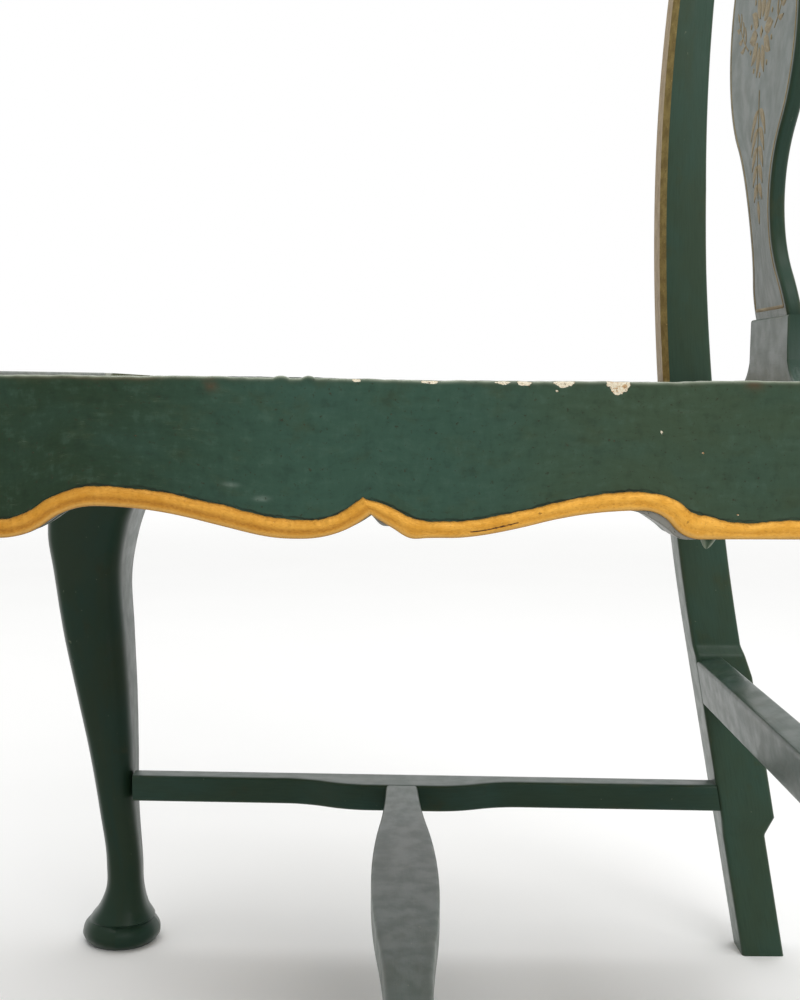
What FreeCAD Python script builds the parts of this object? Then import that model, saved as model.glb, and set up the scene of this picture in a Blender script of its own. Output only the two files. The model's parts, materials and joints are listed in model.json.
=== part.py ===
import FreeCAD, Part
import os
import Sketcher

# A painted side chair with a scalloped seat frame, bent front legs, raked back posts and a
# vase-shaped splat. The sitter faces -Y, the sitter's left is +X, and the floor is at Z = 0.
# Every length is in millimetres. Each piece is drawn from the cusp in the middle of the side
# rails' scalloped edge, and its Placement moves it so that the origin is in the middle of the
# whole chair.

SIZES = {
    # Seat frame
    "seat_front_width": 494.0,
    "seat_taper": 41.0,
    "cusp_to_front_leg": 173.0,
    "cusp_to_back_waist": 206.3,
    "rail_top": 440.0,
    "rail_depth": 69.5,
    "rail_thickness": 30.0,
    "seat_lip": 16.0,
    "rebate_depth": 24.0,
    "rear_rail_depth": 46.0,
    "rear_rail_thickness": 28.0,
    # Scalloped lower edge and its gilt bead
    "cusp_rise": 9.5,
    "hump_rise": 13.5,
    "lobe_reach": 29.0,
    "hump_reach": 120.0,
    "step_reach": 147.0,
    "bead_width": 7.6,
    "bead_stand": 2.4,
    # Front legs
    "front_leg_block": 45.0,
    "block_stand": 2.0,
    "knee_bulge": 34.0,
    "knee_hollow": 21.0,
    "foot_radius": 30.0,
    "foot_sole_radius": 25.0,
    "foot_crown_radius": 24.0,
    "foot_widest_height": 8.0,
    "foot_height": 20.0,
    "foot_outset": 2.5,
    # Back posts
    "post_width": 30.0,
    "post_block_width": 35.0,
    "waist_height": 580.0,
    "rake_start_height": 250.0,
    "rake_arc_run": 30.2,
    "post_top_height": 900.0,
    "back_lean_run": 36.0,
    "post_top_depth": 24.0,
    "post_waist_depth": 34.6,
    "post_rake_depth": 36.4,
    "post_block_depth": 40.5,
    "post_foot_depth": 32.0,
    "block_top_height": 241.0,
    "rear_shoulder": 23.0,
    "inner_shoulder": 6.5,
    "block_bottom_height": 110.0,
    "lower_shoulder": 15.0,
    "post_chamfer": 4.4,
    "chamfer_start_height": 443.0,
    # Joints of the seat frame
    "tenon_thickness": 10.0,
    "tenon_inset": 10.0,
    "tenon_shoulder": 12.0,
    "tenon_cover": 4.0,
    "leg_tenon_length": 22.0,
    "post_tenon_length": 14.0,
    "rear_tenon_length": 18.0,
    "rear_tenon_thickness": 8.0,
    "rear_tenon_setback": 6.0,
    "rear_tenon_shoulder": 7.0,
    "joint_gap": 0.15,
    "peg_radius": 3.0,
    "peg_length": 30.0,
    "rear_peg_length": 23.0,
    "peg_stand": 0.4,
    "peg_gap": 0.03,
    # Stretchers
    "rear_stretcher_top": 230.0,
    "rear_stretcher_height": 34.0,
    "rear_stretcher_thickness": 20.0,
    "rear_stretcher_shoulder": 7.0,
    "side_stretcher_height": 125.0,
    "side_stretcher_thickness": 20.0,
    "side_stretcher_width": 18.0,
    "side_stretcher_swell": 14.0,
    "side_stretcher_swell_reach": 90.0,
    "side_stretcher_swell_flat": 24.0,
    "stretcher_tenon_length": 16.0,
    "stretcher_tenon_width": 10.0,
    "stretcher_tenon_thickness": 10.0,
    "stretcher_housing": 13.4,
    "stretcher_outset": 3.0,
    "medial_from_cusp": 20.0,
    "medial_width": 24.0,
    "medial_swell": 9.0,
    "medial_tenon_length": 12.0,
    # Crest rail
    "crest_height": 92.0,
    "crest_foot_overhang": 3.0,
    "crest_ear_overhang": 12.0,
    "crest_ear_height": 34.0,
    "crest_shoulder_radius": 30.0,
    "crest_saddle_height": 53.0,
    "crest_saddle_reach": 108.0,
    "crest_foot_margin": 6.0,
    "crest_arch_rise": 19.0,
    "crest_arch_reach": 122.0,
    "crest_tongue_reach": 66.0,
    "crest_tongue_rise": 5.0,
    "crest_tenon_length": 22.0,
    "crest_tenon_width": 14.0,
    "crest_edge_round": 3.0,
    # Splat and shoe
    "splat_thickness": 9.0,
    "splat_setback": 24.0,
    "splat_foot_back": 11.0,
    "splat_bend_run": 102.0,
    "splat_tongue": 8.0,
    "splat_tongue_thickness": 7.0,
    "splat_base_half": 36.0,
    "splat_ankle_half": 24.0,
    "splat_belly_half": 78.0,
    "splat_neck_half": 27.0,
    "splat_head_half": 58.0,
    "splat_ankle_height": 525.0,
    "splat_belly_height": 645.0,
    "splat_neck_height": 772.0,
    "splat_head_height": 872.0,
    "groove_clearance": 1.5,
    "shoe_top": 478.0,
    "shoe_thickness": 12.0,
    "shoe_half": 43.0,
    "shoe_skirt": 66.0,
    # Slip seat
    "seat_gap": 2.5,
    "seat_drop": 2.0,
    "rush_wrap": 4.0,
    "rush_round": 6.0,
    "seat_bar_width": 44.0,
    # Corner blocks
    "front_block_reach": 38.0,
    "rear_block_reach": 44.0,
    "corner_block_height": 32.0,
    "corner_block_drop": 1.5,
    # Overrun of cuts past the faces that they open
    "overrun": 5.0,
    # How near two corners lie that count as one
    "same_place": 0.01,
}

# A front leg's sections from the collar under the rails down to the foot. Each row gives the
# section's height as a share of the rail's top height, how far its outer sides stand out as a
# share of the knee's bulge, how far its inner sides draw in as a share of the knee's hollow,
# and its corner radius as a share of its width.
LEG_SECTION_SHARES = (
    (0.886, 0.000, 0.000, 0.06),
    (0.836, 0.420, 0.070, 0.10),
    (0.784, 0.850, 0.340, 0.14),
    (0.727, 1.000, 0.745, 0.16),
    (0.659, 0.920, 0.995, 0.19),
    (0.545, 0.685, 0.870, 0.22),
    (0.445, 0.390, 0.705, 0.24),
    (0.341, 0.090, 0.585, 0.27),
    (0.239, -0.132, 0.520, 0.32),
    (0.148, -0.294, 0.370, 0.38),
    (0.095, -0.260, 0.330, 0.42),
    (0.064, -0.080, 0.180, 0.46),
    (0.041, 0.120, -0.050, 0.48),
)
TENON_PEG_SHARES = (0.28, 0.72)
LEFT_AND_RIGHT = (("left", 1), ("right", -1))
PLANES = {"XY": "XY_Plane", "XZ": "XZ_Plane", "YZ": "YZ_Plane"}

doc = FreeCAD.newDocument("side_chair")
sheet = doc.addObject("Spreadsheet::Sheet", "Sizes")
nodes = []


class Size:
    """A length that carries its value and the spreadsheet expression that gives it."""

    def __init__(self, value, text):
        self.value = float(value)
        self.text = text

    def __add__(self, other):
        return Size(self.value + number(other), "(%s + %s)" % (self.text, words(other)))

    def __sub__(self, other):
        return Size(self.value - number(other), "(%s - %s)" % (self.text, words(other)))

    def __mul__(self, other):
        return Size(self.value * number(other), "(%s * %s)" % (self.text, words(other)))

    def __truediv__(self, other):
        return Size(self.value / number(other), "(%s / %s)" % (self.text, words(other)))

    def __neg__(self):
        return Size(-self.value, "(-1 * %s)" % self.text)

    def root(self):
        return Size(self.value ** 0.5, "sqrt(%s)" % self.text)


def number(thing):
    return thing.value if isinstance(thing, Size) else float(thing)


def words(thing):
    return thing.text if isinstance(thing, Size) else "(%.9g)" % float(thing)


S = {}
for row, (alias, value) in enumerate(SIZES.items(), start=1):
    sheet.set("A%d" % row, alias)
    sheet.set("B%d" % row, repr(value))
    sheet.setAlias("B%d" % row, alias)
    S[alias] = Size(value, "Sizes." + alias)
doc.recompute()
NOTHING = Size(0, "0")


# Places that several pieces share

def arc_radius(along, aside):
    """Radius of an arc that leaves a line by `aside` after a run of `along`."""
    return (along * along + aside * aside) / (aside * 2)


block_rear = -S["cusp_to_front_leg"]
block_front = block_rear - S["front_leg_block"]
waist_y = S["cusp_to_back_waist"]
waist_z = S["waist_height"]
rake_rise = waist_z - S["rake_start_height"]
rake_radius = arc_radius(rake_rise, S["rake_arc_run"])
rake_sine = rake_rise / rake_radius
rake_cosine = (rake_radius - S["rake_arc_run"]) / rake_radius
rake_slope = rake_rise / (rake_radius - S["rake_arc_run"])
lean_rise = S["post_top_height"] - waist_z
lean_radius = arc_radius(lean_rise, S["back_lean_run"])
lean_sine = lean_rise / lean_radius
lean_cosine = (lean_radius - S["back_lean_run"]) / lean_radius
crest_y = waist_y + S["back_lean_run"]
crest_z = S["post_top_height"]


def post_front_at(z):
    """Y of the back posts' front face at a height on the raked arc below the waist."""
    down = waist_z - z
    return waist_y + rake_radius - (rake_radius * rake_radius - down * down).root()


def post_back_at(z):
    """Y of the back posts' rear face at a height on the raked arc below the waist."""
    down = waist_z - z
    run = S["rake_arc_run"] + S["post_rake_depth"] - S["post_waist_depth"]
    radius = arc_radius(rake_rise, run)
    return waist_y + S["post_waist_depth"] + radius - (radius * radius - down * down).root()


def post_front_low(z):
    """Y of the back posts' front face at a height on their straight lower part."""
    return waist_y + S["rake_arc_run"] + (S["rake_start_height"] - z) * rake_slope


cusp_y = (-block_front + S["knee_bulge"] - post_front_low(NOTHING) - S["post_foot_depth"]) / 2
half_front = S["seat_front_width"] / 2
half_rear = (S["seat_front_width"] - S["seat_taper"]) / 2
block_inner = half_front - S["front_leg_block"]
post_inner = half_rear - S["post_width"]
post_block_inner = half_rear - S["post_block_width"]
rail_bottom = S["rail_top"] - S["rail_depth"]
ledge_z = S["rail_top"] - S["rebate_depth"]
rail_rear = post_front_at(S["rail_top"])
rail_rear_low = post_front_at(rail_bottom)
side_slope = (half_front - half_rear) / (rail_rear - block_rear)


def rail_outer(y):
    """X of the left side rail's outer face at a place along the chair."""
    return half_front - (y - block_rear) * side_slope


def leaned(forward_y, forward_z, back, up):
    """Y and Z of a point behind and above another one, along the leaning top of the back."""
    return (forward_y + lean_cosine * back + lean_sine * up,
            forward_z - lean_sine * back + lean_cosine * up)


def raked(forward_y, forward_z, back, down):
    """Y and Z of a point behind and below another one, along the raked foot of a post."""
    return (forward_y + rake_cosine * back + rake_sine * down,
            forward_z + rake_sine * back - rake_cosine * down)


# Drawing and feature helpers

def new_body(label):
    body = doc.addObject("PartDesign::Body", label)
    body.Label = label
    body.Placement = FreeCAD.Placement(FreeCAD.Vector(0, cusp_y.value, 0), FreeCAD.Rotation())
    body.setExpression("Placement.Base.y", cusp_y.text)
    nodes.append(body)
    return body


def new_sketch(body, name, plane, offset, shift=None):
    """A sketch on one of the body's own origin planes, moved along the plane's normal.

    On YZ the sketch's axes are Y and Z and its normal is +X, on XY they are X and Y with +Z,
    and on XZ they are X and Z with -Y. `shift` moves its origin along its own first axis.
    """
    drawn = body.newObject("Sketcher::SketchObject", body.Label + "_" + name)
    support = [f for f in body.Origin.OriginFeatures if f.Role == PLANES[plane]][0]
    drawn.AttachmentSupport = [(support, "")]
    drawn.MapMode = "FlatFace"
    drawn.AttachmentOffset = FreeCAD.Placement(
        FreeCAD.Vector(number(shift or NOTHING), 0, offset.value), FreeCAD.Rotation())
    drawn.setExpression("AttachmentOffset.Base.z", offset.text)
    if shift is not None:
        drawn.setExpression("AttachmentOffset.Base.x", shift.text)
    return drawn


def hold(drawn, kind, geometry, point, size):
    """Fixes a point's distance from one of the sketch's axes to a size."""
    if size is NOTHING:
        axis = -2 if kind == "DistanceX" else -1
        drawn.addConstraint(Sketcher.Constraint("PointOnObject", geometry, point, axis))
        return
    index = drawn.addConstraint(Sketcher.Constraint(kind, -1, 1, geometry, point, size.value))
    drawn.setExpression("Constraints[%d]" % index, size.text)


def arc_centre(a, b, bend):
    """The centre as far from both ends, with the coordinate that is given."""
    middle = (a + b) * 0.5
    along = b - a
    centre_x, centre_y = bend
    if centre_x is not None:
        x = centre_x.value
        return FreeCAD.Vector(x, middle.y - (x - middle.x) * along.x / along.y, 0)
    y = centre_y.value
    return FreeCAD.Vector(middle.x - (y - middle.y) * along.y / along.x, y, 0)


def short_arc(centre, a, b):
    """The shorter arc from a to b, and whether its own start is b."""
    turned = (a - centre).cross(b - centre).z < 0
    first, last = (b, a) if turned else (a, b)
    circle = Part.Circle(centre, FreeCAD.Vector(0, 0, 1), (a - centre).Length)
    return Part.ArcOfCircle(circle, circle.parameter(first), circle.parameter(last)), turned


class Loop:
    """A closed outline of lines and arcs between corners that are pairs of sizes."""

    def __init__(self, x, y):
        self.corners = [(x, y)]
        self.bends = []

    def line(self, x, y):
        self.corners.append((x, y))
        self.bends.append(None)
        return self

    def arc(self, x, y, centre_x=None, centre_y=None):
        """An arc to a corner, with one coordinate of its centre given."""
        self.corners.append((x, y))
        self.bends.append((centre_x, centre_y))
        return self

    def s_across(self, x, y):
        """Two equal arcs to a corner that leave and arrive along the sketch's first axis."""
        from_x, from_y = self.corners[-1]
        self.arc((from_x + x) / 2, (from_y + y) / 2, centre_x=from_x)
        return self.arc(x, y, centre_x=x)

    def s_along(self, x, y):
        """Two equal arcs to a corner that leave and arrive along the sketch's second axis."""
        from_x, from_y = self.corners[-1]
        self.arc((from_x + x) / 2, (from_y + y) / 2, centre_y=from_y)
        return self.arc(x, y, centre_y=y)

    def draw(self, drawn):
        """Adds the outline; one that comes back to its first corner closes there."""
        corners = list(self.corners)
        bends = list(self.bends)
        if corners[-1] == corners[0]:
            corners.pop()
        else:
            bends.append(None)
        count = len(corners)
        first = drawn.GeometryCount
        points = [FreeCAD.Vector(x.value, y.value, 0) for x, y in corners]
        ends = []
        for i in range(count):
            a = points[i]
            b = points[(i + 1) % count]
            if bends[i] is None:
                drawn.addGeometry(Part.LineSegment(a, b), False)
                ends.append((1, 2))
                continue
            shape, turned = short_arc(arc_centre(a, b, bends[i]), a, b)
            drawn.addGeometry(shape, False)
            ends.append((2, 1) if turned else (1, 2))
        for i in range(count):
            after = (i + 1) % count
            drawn.addConstraint(Sketcher.Constraint(
                "Coincident", first + i, ends[i][1], first + after, ends[after][0]))
        for i in range(count):
            hold(drawn, "DistanceX", first + i, ends[i][0], corners[i][0])
            hold(drawn, "DistanceY", first + i, ends[i][0], corners[i][1])
            if bends[i] is not None:
                centre_x, centre_y = bends[i]
                if centre_x is not None:
                    hold(drawn, "DistanceX", first + i, 3, centre_x)
                else:
                    hold(drawn, "DistanceY", first + i, 3, centre_y)
        return drawn


def polygon(corners):
    loop = Loop(*corners[0])
    for x, y in corners[1:]:
        loop.line(x, y)
    return loop


def rectangle(x0, y0, x1, y1):
    return polygon([(x0, y0), (x1, y0), (x1, y1), (x0, y1)])


def pad(body, drawn, length, name):
    """Adds the sketch's outline along its normal."""
    feature = body.newObject("PartDesign::Pad", body.Label + "_" + name)
    feature.Profile = drawn
    feature.Length = length.value
    feature.setExpression("Length", length.text)
    body.Tip = feature
    return feature


def pocket(body, drawn, length, name):
    """Cuts the sketch's outline against its normal."""
    feature = body.newObject("PartDesign::Pocket", body.Label + "_" + name)
    feature.Profile = drawn
    feature.Length = length.value
    feature.setExpression("Length", length.text)
    body.Tip = feature
    return feature


def dress(body, kind, name, size, wanted):
    """Rounds or chamfers the edges whose ends' places pass a test."""
    doc.recompute()
    base = body.Tip
    names = ["Edge%d" % (index + 1) for index, edge in enumerate(base.Shape.Edges)
             if wanted([vertex.Point for vertex in edge.Vertexes])]
    feature = body.newObject("PartDesign::" + kind, body.Label + "_" + name)
    feature.Base = (base, names)
    sized = "Radius" if kind == "Fillet" else "Size"
    setattr(feature, sized, size.value)
    feature.setExpression(sized, size.text)
    body.Tip = feature
    return feature


def near(one, other):
    """Whether two places along an axis count as the same."""
    return abs(one - number(other)) < S["same_place"].value


def block(body, name, low, high, cut=False):
    """A box between two corners, added or cut by a sketch on the YZ plane."""
    drawn = new_sketch(body, name + "_outline", "YZ", high[0] if cut else low[0])
    rectangle(low[1], low[2], high[1], high[2]).draw(drawn)
    make = pocket if cut else pad
    return make(body, drawn, high[0] - low[0], name)


def flip(side, near, far):
    """The lower and upper X of a stretch from `near` to `far` of the middle, on one side."""
    return (near, far) if side > 0 else (-far, -near)


def side_block(body, name, side, low, high, cut=False):
    """The same box on the left, or its mirror image on the right."""
    x0, x1 = flip(side, low[0], high[0])
    return block(body, name, (x0, low[1], low[2]), (x1, high[1], high[2]), cut)


def mortise(body, name, side, low, high):
    """A cut for a tenon's box, with the joint's gap all round."""
    gap = S["joint_gap"]
    return side_block(body, name, side, [v - gap for v in low], [v + gap for v in high], cut=True)


def round_hole(body, name, plane, offset, centre, depth):
    """A hole for a peg, cut from a plane against its normal."""
    drawn = new_sketch(body, name + "_circle", plane, offset)
    radius = S["peg_radius"] + S["peg_gap"]
    middle = FreeCAD.Vector(centre[0].value, centre[1].value, 0)
    ring = drawn.addGeometry(Part.Circle(middle, FreeCAD.Vector(0, 0, 1), radius.value), False)
    hold(drawn, "DistanceX", ring, 3, centre[0])
    hold(drawn, "DistanceY", ring, 3, centre[1])
    index = drawn.addConstraint(Sketcher.Constraint("Radius", ring, radius.value))
    drawn.setExpression("Constraints[%d]" % index, radius.text)
    return pocket(body, drawn, depth, name)


# Where the tenons of the seat frame lie
tenon_low = rail_bottom + S["tenon_shoulder"]
tenon_high = ledge_z - S["tenon_cover"]
peg_heights = [tenon_low + (tenon_high - tenon_low) * share for share in TENON_PEG_SHARES]
leg_peg_y = block_rear - S["leg_tenon_length"] / 2
leg_peg_x = block_inner + S["leg_tenon_length"] / 2
post_peg_y = post_front_at((tenon_low + tenon_high) / 2) + S["post_tenon_length"] / 2
leg_tenon_out = half_front - S["tenon_inset"]
leg_tenon_in = leg_tenon_out - S["tenon_thickness"]
post_tenon_out = half_rear - S["tenon_inset"]
post_tenon_in = post_tenon_out - S["tenon_thickness"]
front_tenon_front = block_front + S["tenon_inset"]
front_tenon_back = front_tenon_front + S["tenon_thickness"]
splat_waist_y = waist_y + S["splat_setback"]
splat_base_y = splat_waist_y + S["splat_foot_back"]
rear_rail_back = splat_base_y + S["shoe_thickness"] / 2
rear_rail_front = rear_rail_back - S["rear_rail_thickness"]
rear_rail_low = ledge_z - S["rear_rail_depth"]
rear_tenon_back = rear_rail_back - S["rear_tenon_setback"]
SIDE_TO_LEG = ((leg_tenon_in, block_rear - S["leg_tenon_length"], tenon_low),
               (leg_tenon_out, block_rear + S["overrun"], tenon_high))
SIDE_TO_POST = ((post_tenon_in, rail_rear - S["overrun"], tenon_low),
                (post_tenon_out, post_front_at(tenon_low) + S["post_tenon_length"], tenon_high))
FRONT_TO_LEG = ((block_inner - S["overrun"], front_tenon_front, tenon_low),
                (block_inner + S["leg_tenon_length"], front_tenon_back, tenon_high))
REAR_TO_POST = ((post_inner - S["overrun"], rear_tenon_back - S["rear_tenon_thickness"],
                 rear_rail_low + S["rear_tenon_shoulder"]),
                (post_inner + S["rear_tenon_length"], rear_tenon_back,
                 ledge_z - S["rear_tenon_shoulder"]))


# The scalloped edge and the bead that follows it

def scallops(loop, low):
    """Adds the scalloped edge to a loop, from one step to the other.

    From the step the edge swings up to the hump, down to the lobe and up to the pointed cusp
    in the middle, and the other half is its mirror image.
    """
    hump = low + S["hump_rise"]
    loop.s_across(-S["hump_reach"], hump)
    loop.s_across(-S["lobe_reach"], low)
    loop.arc(NOTHING, low + S["cusp_rise"], centre_x=-S["lobe_reach"])
    loop.arc(S["lobe_reach"], low, centre_x=S["lobe_reach"])
    loop.s_across(S["hump_reach"], hump)
    return loop.s_across(S["step_reach"], low)


def swing_middle(low_reach, low):
    """Where the bead's two upper arcs meet between a low point of the edge and the hump.

    Both arcs keep the centres of the arcs below them, so their meeting point moves by the
    bead's width along the line between the centres.
    """
    rise = S["hump_rise"]
    run = S["hump_reach"] - low_reach
    radius = (run * run + rise * rise) / (rise * 4)
    share = S["bead_width"] / radius
    reach = (low_reach + S["hump_reach"]) / 2 - run * share / 2
    return reach, low + rise / 2 + (radius - rise / 2) * share


def bead_outline(low, start, end, end_top):
    """The bead's face: along the scalloped edge and back along its own upper edge."""
    width = S["bead_width"]
    loop = Loop(start, low).line(-S["step_reach"], low)
    scallops(loop, low).line(end, low).line(end_top, low + width)
    step = S["step_reach"]
    hump = S["hump_reach"]
    lobe = S["lobe_reach"]
    outer_reach, outer_z = swing_middle(step, low)
    inner_reach, inner_z = swing_middle(lobe, low)
    inner_radius = arc_radius(lobe, S["cusp_rise"]) - width
    tip = low + width + inner_radius - (inner_radius * inner_radius - lobe * lobe).root()
    crown = low + S["hump_rise"] + width
    loop.line(step, low + width).arc(outer_reach, outer_z, centre_x=step)
    loop.arc(hump, crown, centre_x=hump).arc(inner_reach, inner_z, centre_x=hump)
    loop.arc(lobe, low + width, centre_x=lobe).arc(NOTHING, tip, centre_x=lobe)
    loop.arc(-lobe, low + width, centre_x=-lobe).arc(-inner_reach, inner_z, centre_x=-lobe)
    loop.arc(-hump, crown, centre_x=-hump).arc(-outer_reach, outer_z, centre_x=-hump)
    loop.arc(-step, low + width, centre_x=-step)
    return loop.line(start, low + width)


def taper_cuts(body, side, inner_shift, outer_shift):
    """Trims a side piece between two upright faces that follow the taper of the seat."""
    y0 = block_rear - S["overrun"]
    y1 = rail_rear_low + S["overrun"]
    depth = S["rail_depth"] + S["overrun"] * 2
    limits = (("outer", outer_shift, half_front + S["overrun"] * 4),
              ("inner", -inner_shift, post_inner - S["overrun"] * 4))
    for name, shift, limit in limits:
        drawn = new_sketch(body, name + "_face_outline", "XY", S["rail_top"] + S["overrun"])
        polygon([((rail_outer(y0) + shift) * side, y0), ((rail_outer(y1) + shift) * side, y1),
                 (limit * side, y1), (limit * side, y0)]).draw(drawn)
        pocket(body, drawn, depth, name + "_face")


# Side rails, with the scalloped edge below and a rebate for the slip seat above
def side_rail(word, side):
    body = new_body("side_rail_" + word)
    x0, x1 = flip(side, post_inner - S["overrun"], half_front)
    drawn = new_sketch(body, "outline", "YZ", x0)
    loop = Loop(block_rear, rail_bottom).line(-S["step_reach"], rail_bottom)
    scallops(loop, rail_bottom).line(rail_rear_low, rail_bottom)
    loop.arc(rail_rear, S["rail_top"], centre_y=waist_z)
    loop.line(block_rear, S["rail_top"]).draw(drawn)
    pad(body, drawn, x1 - x0, "rail")
    taper_cuts(body, side, S["rail_thickness"], NOTHING)
    rebate = new_sketch(body, "rebate_outline", "XY", S["rail_top"])
    y0 = block_rear - S["overrun"]
    y1 = rail_rear_low + S["overrun"]
    lip = S["seat_lip"]
    reach = S["rail_thickness"] + S["overrun"]
    polygon([((rail_outer(y0) - lip) * side, y0), ((rail_outer(y1) - lip) * side, y1),
             ((rail_outer(y1) - reach) * side, y1),
             ((rail_outer(y0) - reach) * side, y0)]).draw(rebate)
    pocket(body, rebate, S["rebate_depth"], "rebate")
    side_block(body, "front_tenon", side, *SIDE_TO_LEG)
    side_block(body, "rear_tenon", side, *SIDE_TO_POST)
    margin = S["overrun"]
    joints = (("front", leg_peg_y, leg_tenon_in, leg_tenon_out),
              ("rear", post_peg_y, post_tenon_in, post_tenon_out))
    for name, y, inner, outer in joints:
        x0, x1 = flip(side, inner - margin, outer + margin)
        for index, z in enumerate(peg_heights):
            round_hole(body, "%s_peg_hole%d" % (name, index), "YZ", x1, (y, z), x1 - x0)


def front_rail():
    body = new_body("front_rail")
    back = block_front + S["rail_thickness"]
    drawn = new_sketch(body, "outline", "XZ", -back)
    loop = Loop(-block_inner, rail_bottom).line(-S["step_reach"], rail_bottom)
    scallops(loop, rail_bottom).line(block_inner, rail_bottom)
    loop.line(block_inner, S["rail_top"]).line(-block_inner, S["rail_top"]).draw(drawn)
    pad(body, drawn, S["rail_thickness"], "rail")
    margin = S["overrun"]
    block(body, "rebate", (-block_inner - margin, block_front + S["seat_lip"], ledge_z),
          (block_inner + margin, back + margin, S["rail_top"] + margin), cut=True)
    for word, side in LEFT_AND_RIGHT:
        side_block(body, "tenon_" + word, side, *FRONT_TO_LEG)
        for index, z in enumerate(peg_heights):
            round_hole(body, "peg_hole_%s%d" % (word, index), "XZ", -(front_tenon_front - margin),
                       (leg_peg_x * side, z), S["tenon_thickness"] + margin * 2)


def rear_rail():
    body = new_body("rear_rail")
    block(body, "rail", (-post_inner, rear_rail_front, rear_rail_low),
          (post_inner, rear_rail_back, ledge_z))
    for word, side in LEFT_AND_RIGHT:
        side_block(body, "tenon_" + word, side, *REAR_TO_POST)


# Gilt beads along the scalloped edges, glued to the rails' faces
def side_bead(word, side):
    body = new_body("side_rail_bead_" + word)
    x0, x1 = flip(side, post_inner, half_front + S["overrun"] * 2)
    drawn = new_sketch(body, "outline", "YZ", x0)
    bead_outline(rail_bottom, block_rear, rail_rear_low,
                 post_front_at(rail_bottom + S["bead_width"])).draw(drawn)
    pad(body, drawn, x1 - x0, "bead")
    taper_cuts(body, side, NOTHING, S["bead_stand"])


def front_bead():
    body = new_body("front_rail_bead")
    drawn = new_sketch(body, "outline", "XZ", -block_front)
    bead_outline(rail_bottom, -block_inner, block_inner, block_inner).draw(drawn)
    pad(body, drawn, S["bead_stand"], "bead")


# Front legs, square at the top and round at the foot
def leg_section(body, index, shares, side):
    height_share, bulge_share, hollow_share, corner_share = shares
    bulge = S["knee_bulge"] * bulge_share
    hollow = S["knee_hollow"] * hollow_share
    corner = (S["front_leg_block"] + bulge - hollow) * corner_share
    y0 = block_front - bulge
    y1 = block_rear - hollow
    x0, x1 = flip(side, block_inner + hollow, half_front + bulge)
    drawn = new_sketch(body, "section%d" % index, "XY", S["rail_top"] * height_share)
    loop = Loop(x0 + corner, y0).line(x1 - corner, y0)
    loop.arc(x1, y0 + corner, centre_x=x1 - corner).line(x1, y1 - corner)
    loop.arc(x1 - corner, y1, centre_x=x1 - corner).line(x0 + corner, y1)
    loop.arc(x0, y1 - corner, centre_x=x0 + corner).line(x0, y0 + corner)
    loop.arc(*loop.corners[0], centre_x=x0 + corner).draw(drawn)
    return drawn


def front_leg(word, side):
    body = new_body("front_leg_" + word)
    collar = S["rail_top"] * LEG_SECTION_SHARES[0][0]
    top = S["rail_top"] + S["block_stand"]
    side_block(body, "block", side, (block_inner, block_front, collar),
               (half_front, block_rear, top))
    sections = [leg_section(body, index, shares, side)
                for index, shares in enumerate(LEG_SECTION_SHARES)]
    shin = body.newObject("PartDesign::AdditiveLoft", body.Label + "_shin")
    shin.Profile = sections[0]
    shin.Sections = sections[1:]
    body.Tip = shin
    centre_x = (half_front - S["front_leg_block"] / 2 + S["foot_outset"]) * side
    centre_y = block_rear - S["front_leg_block"] / 2 - S["foot_outset"]
    drawn = new_sketch(body, "foot_profile", "XZ", -centre_y, centre_x)
    widest = S["foot_widest_height"]
    loop = Loop(NOTHING, NOTHING).line(S["foot_sole_radius"], NOTHING)
    loop.arc(S["foot_radius"], widest, centre_y=widest)
    loop.arc(S["foot_crown_radius"], S["foot_height"], centre_y=widest)
    loop.line(NOTHING, S["foot_height"]).draw(drawn)
    foot = body.newObject("PartDesign::Revolution", body.Label + "_foot")
    foot.Profile = drawn
    foot.ReferenceAxis = (drawn, ["V_Axis"])
    foot.Angle = 360
    body.Tip = foot
    rebate = new_sketch(body, "rebate_outline", "XY", top)
    y0 = block_front + S["seat_lip"]
    y1 = block_rear + S["overrun"]
    inner = block_inner - S["overrun"]
    lip = S["seat_lip"]
    polygon([((rail_outer(y0) - lip) * side, y0), ((rail_outer(y1) - lip) * side, y1),
             (inner * side, y1), (inner * side, y0)]).draw(rebate)
    pocket(body, rebate, top - ledge_z, "rebate")
    mortise(body, "side_mortise", side, *SIDE_TO_LEG)
    mortise(body, "front_mortise", side, *FRONT_TO_LEG)
    mortise(body, "stretcher_housing", side, *stretcher_housing())
    mortise(body, "stretcher_mortise", side, *stretcher_tenon(front=True))
    length = S["peg_length"]
    x0, x1 = flip(side, half_front - length, half_front + S["overrun"])
    for index, z in enumerate(peg_heights):
        round_hole(body, "side_peg_hole%d" % index, "YZ", x1, (leg_peg_y, z), x1 - x0)
        round_hole(body, "front_peg_hole%d" % index, "XZ", -(block_front - S["overrun"]),
                   (leg_peg_x * side, z), length + S["overrun"])


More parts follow.
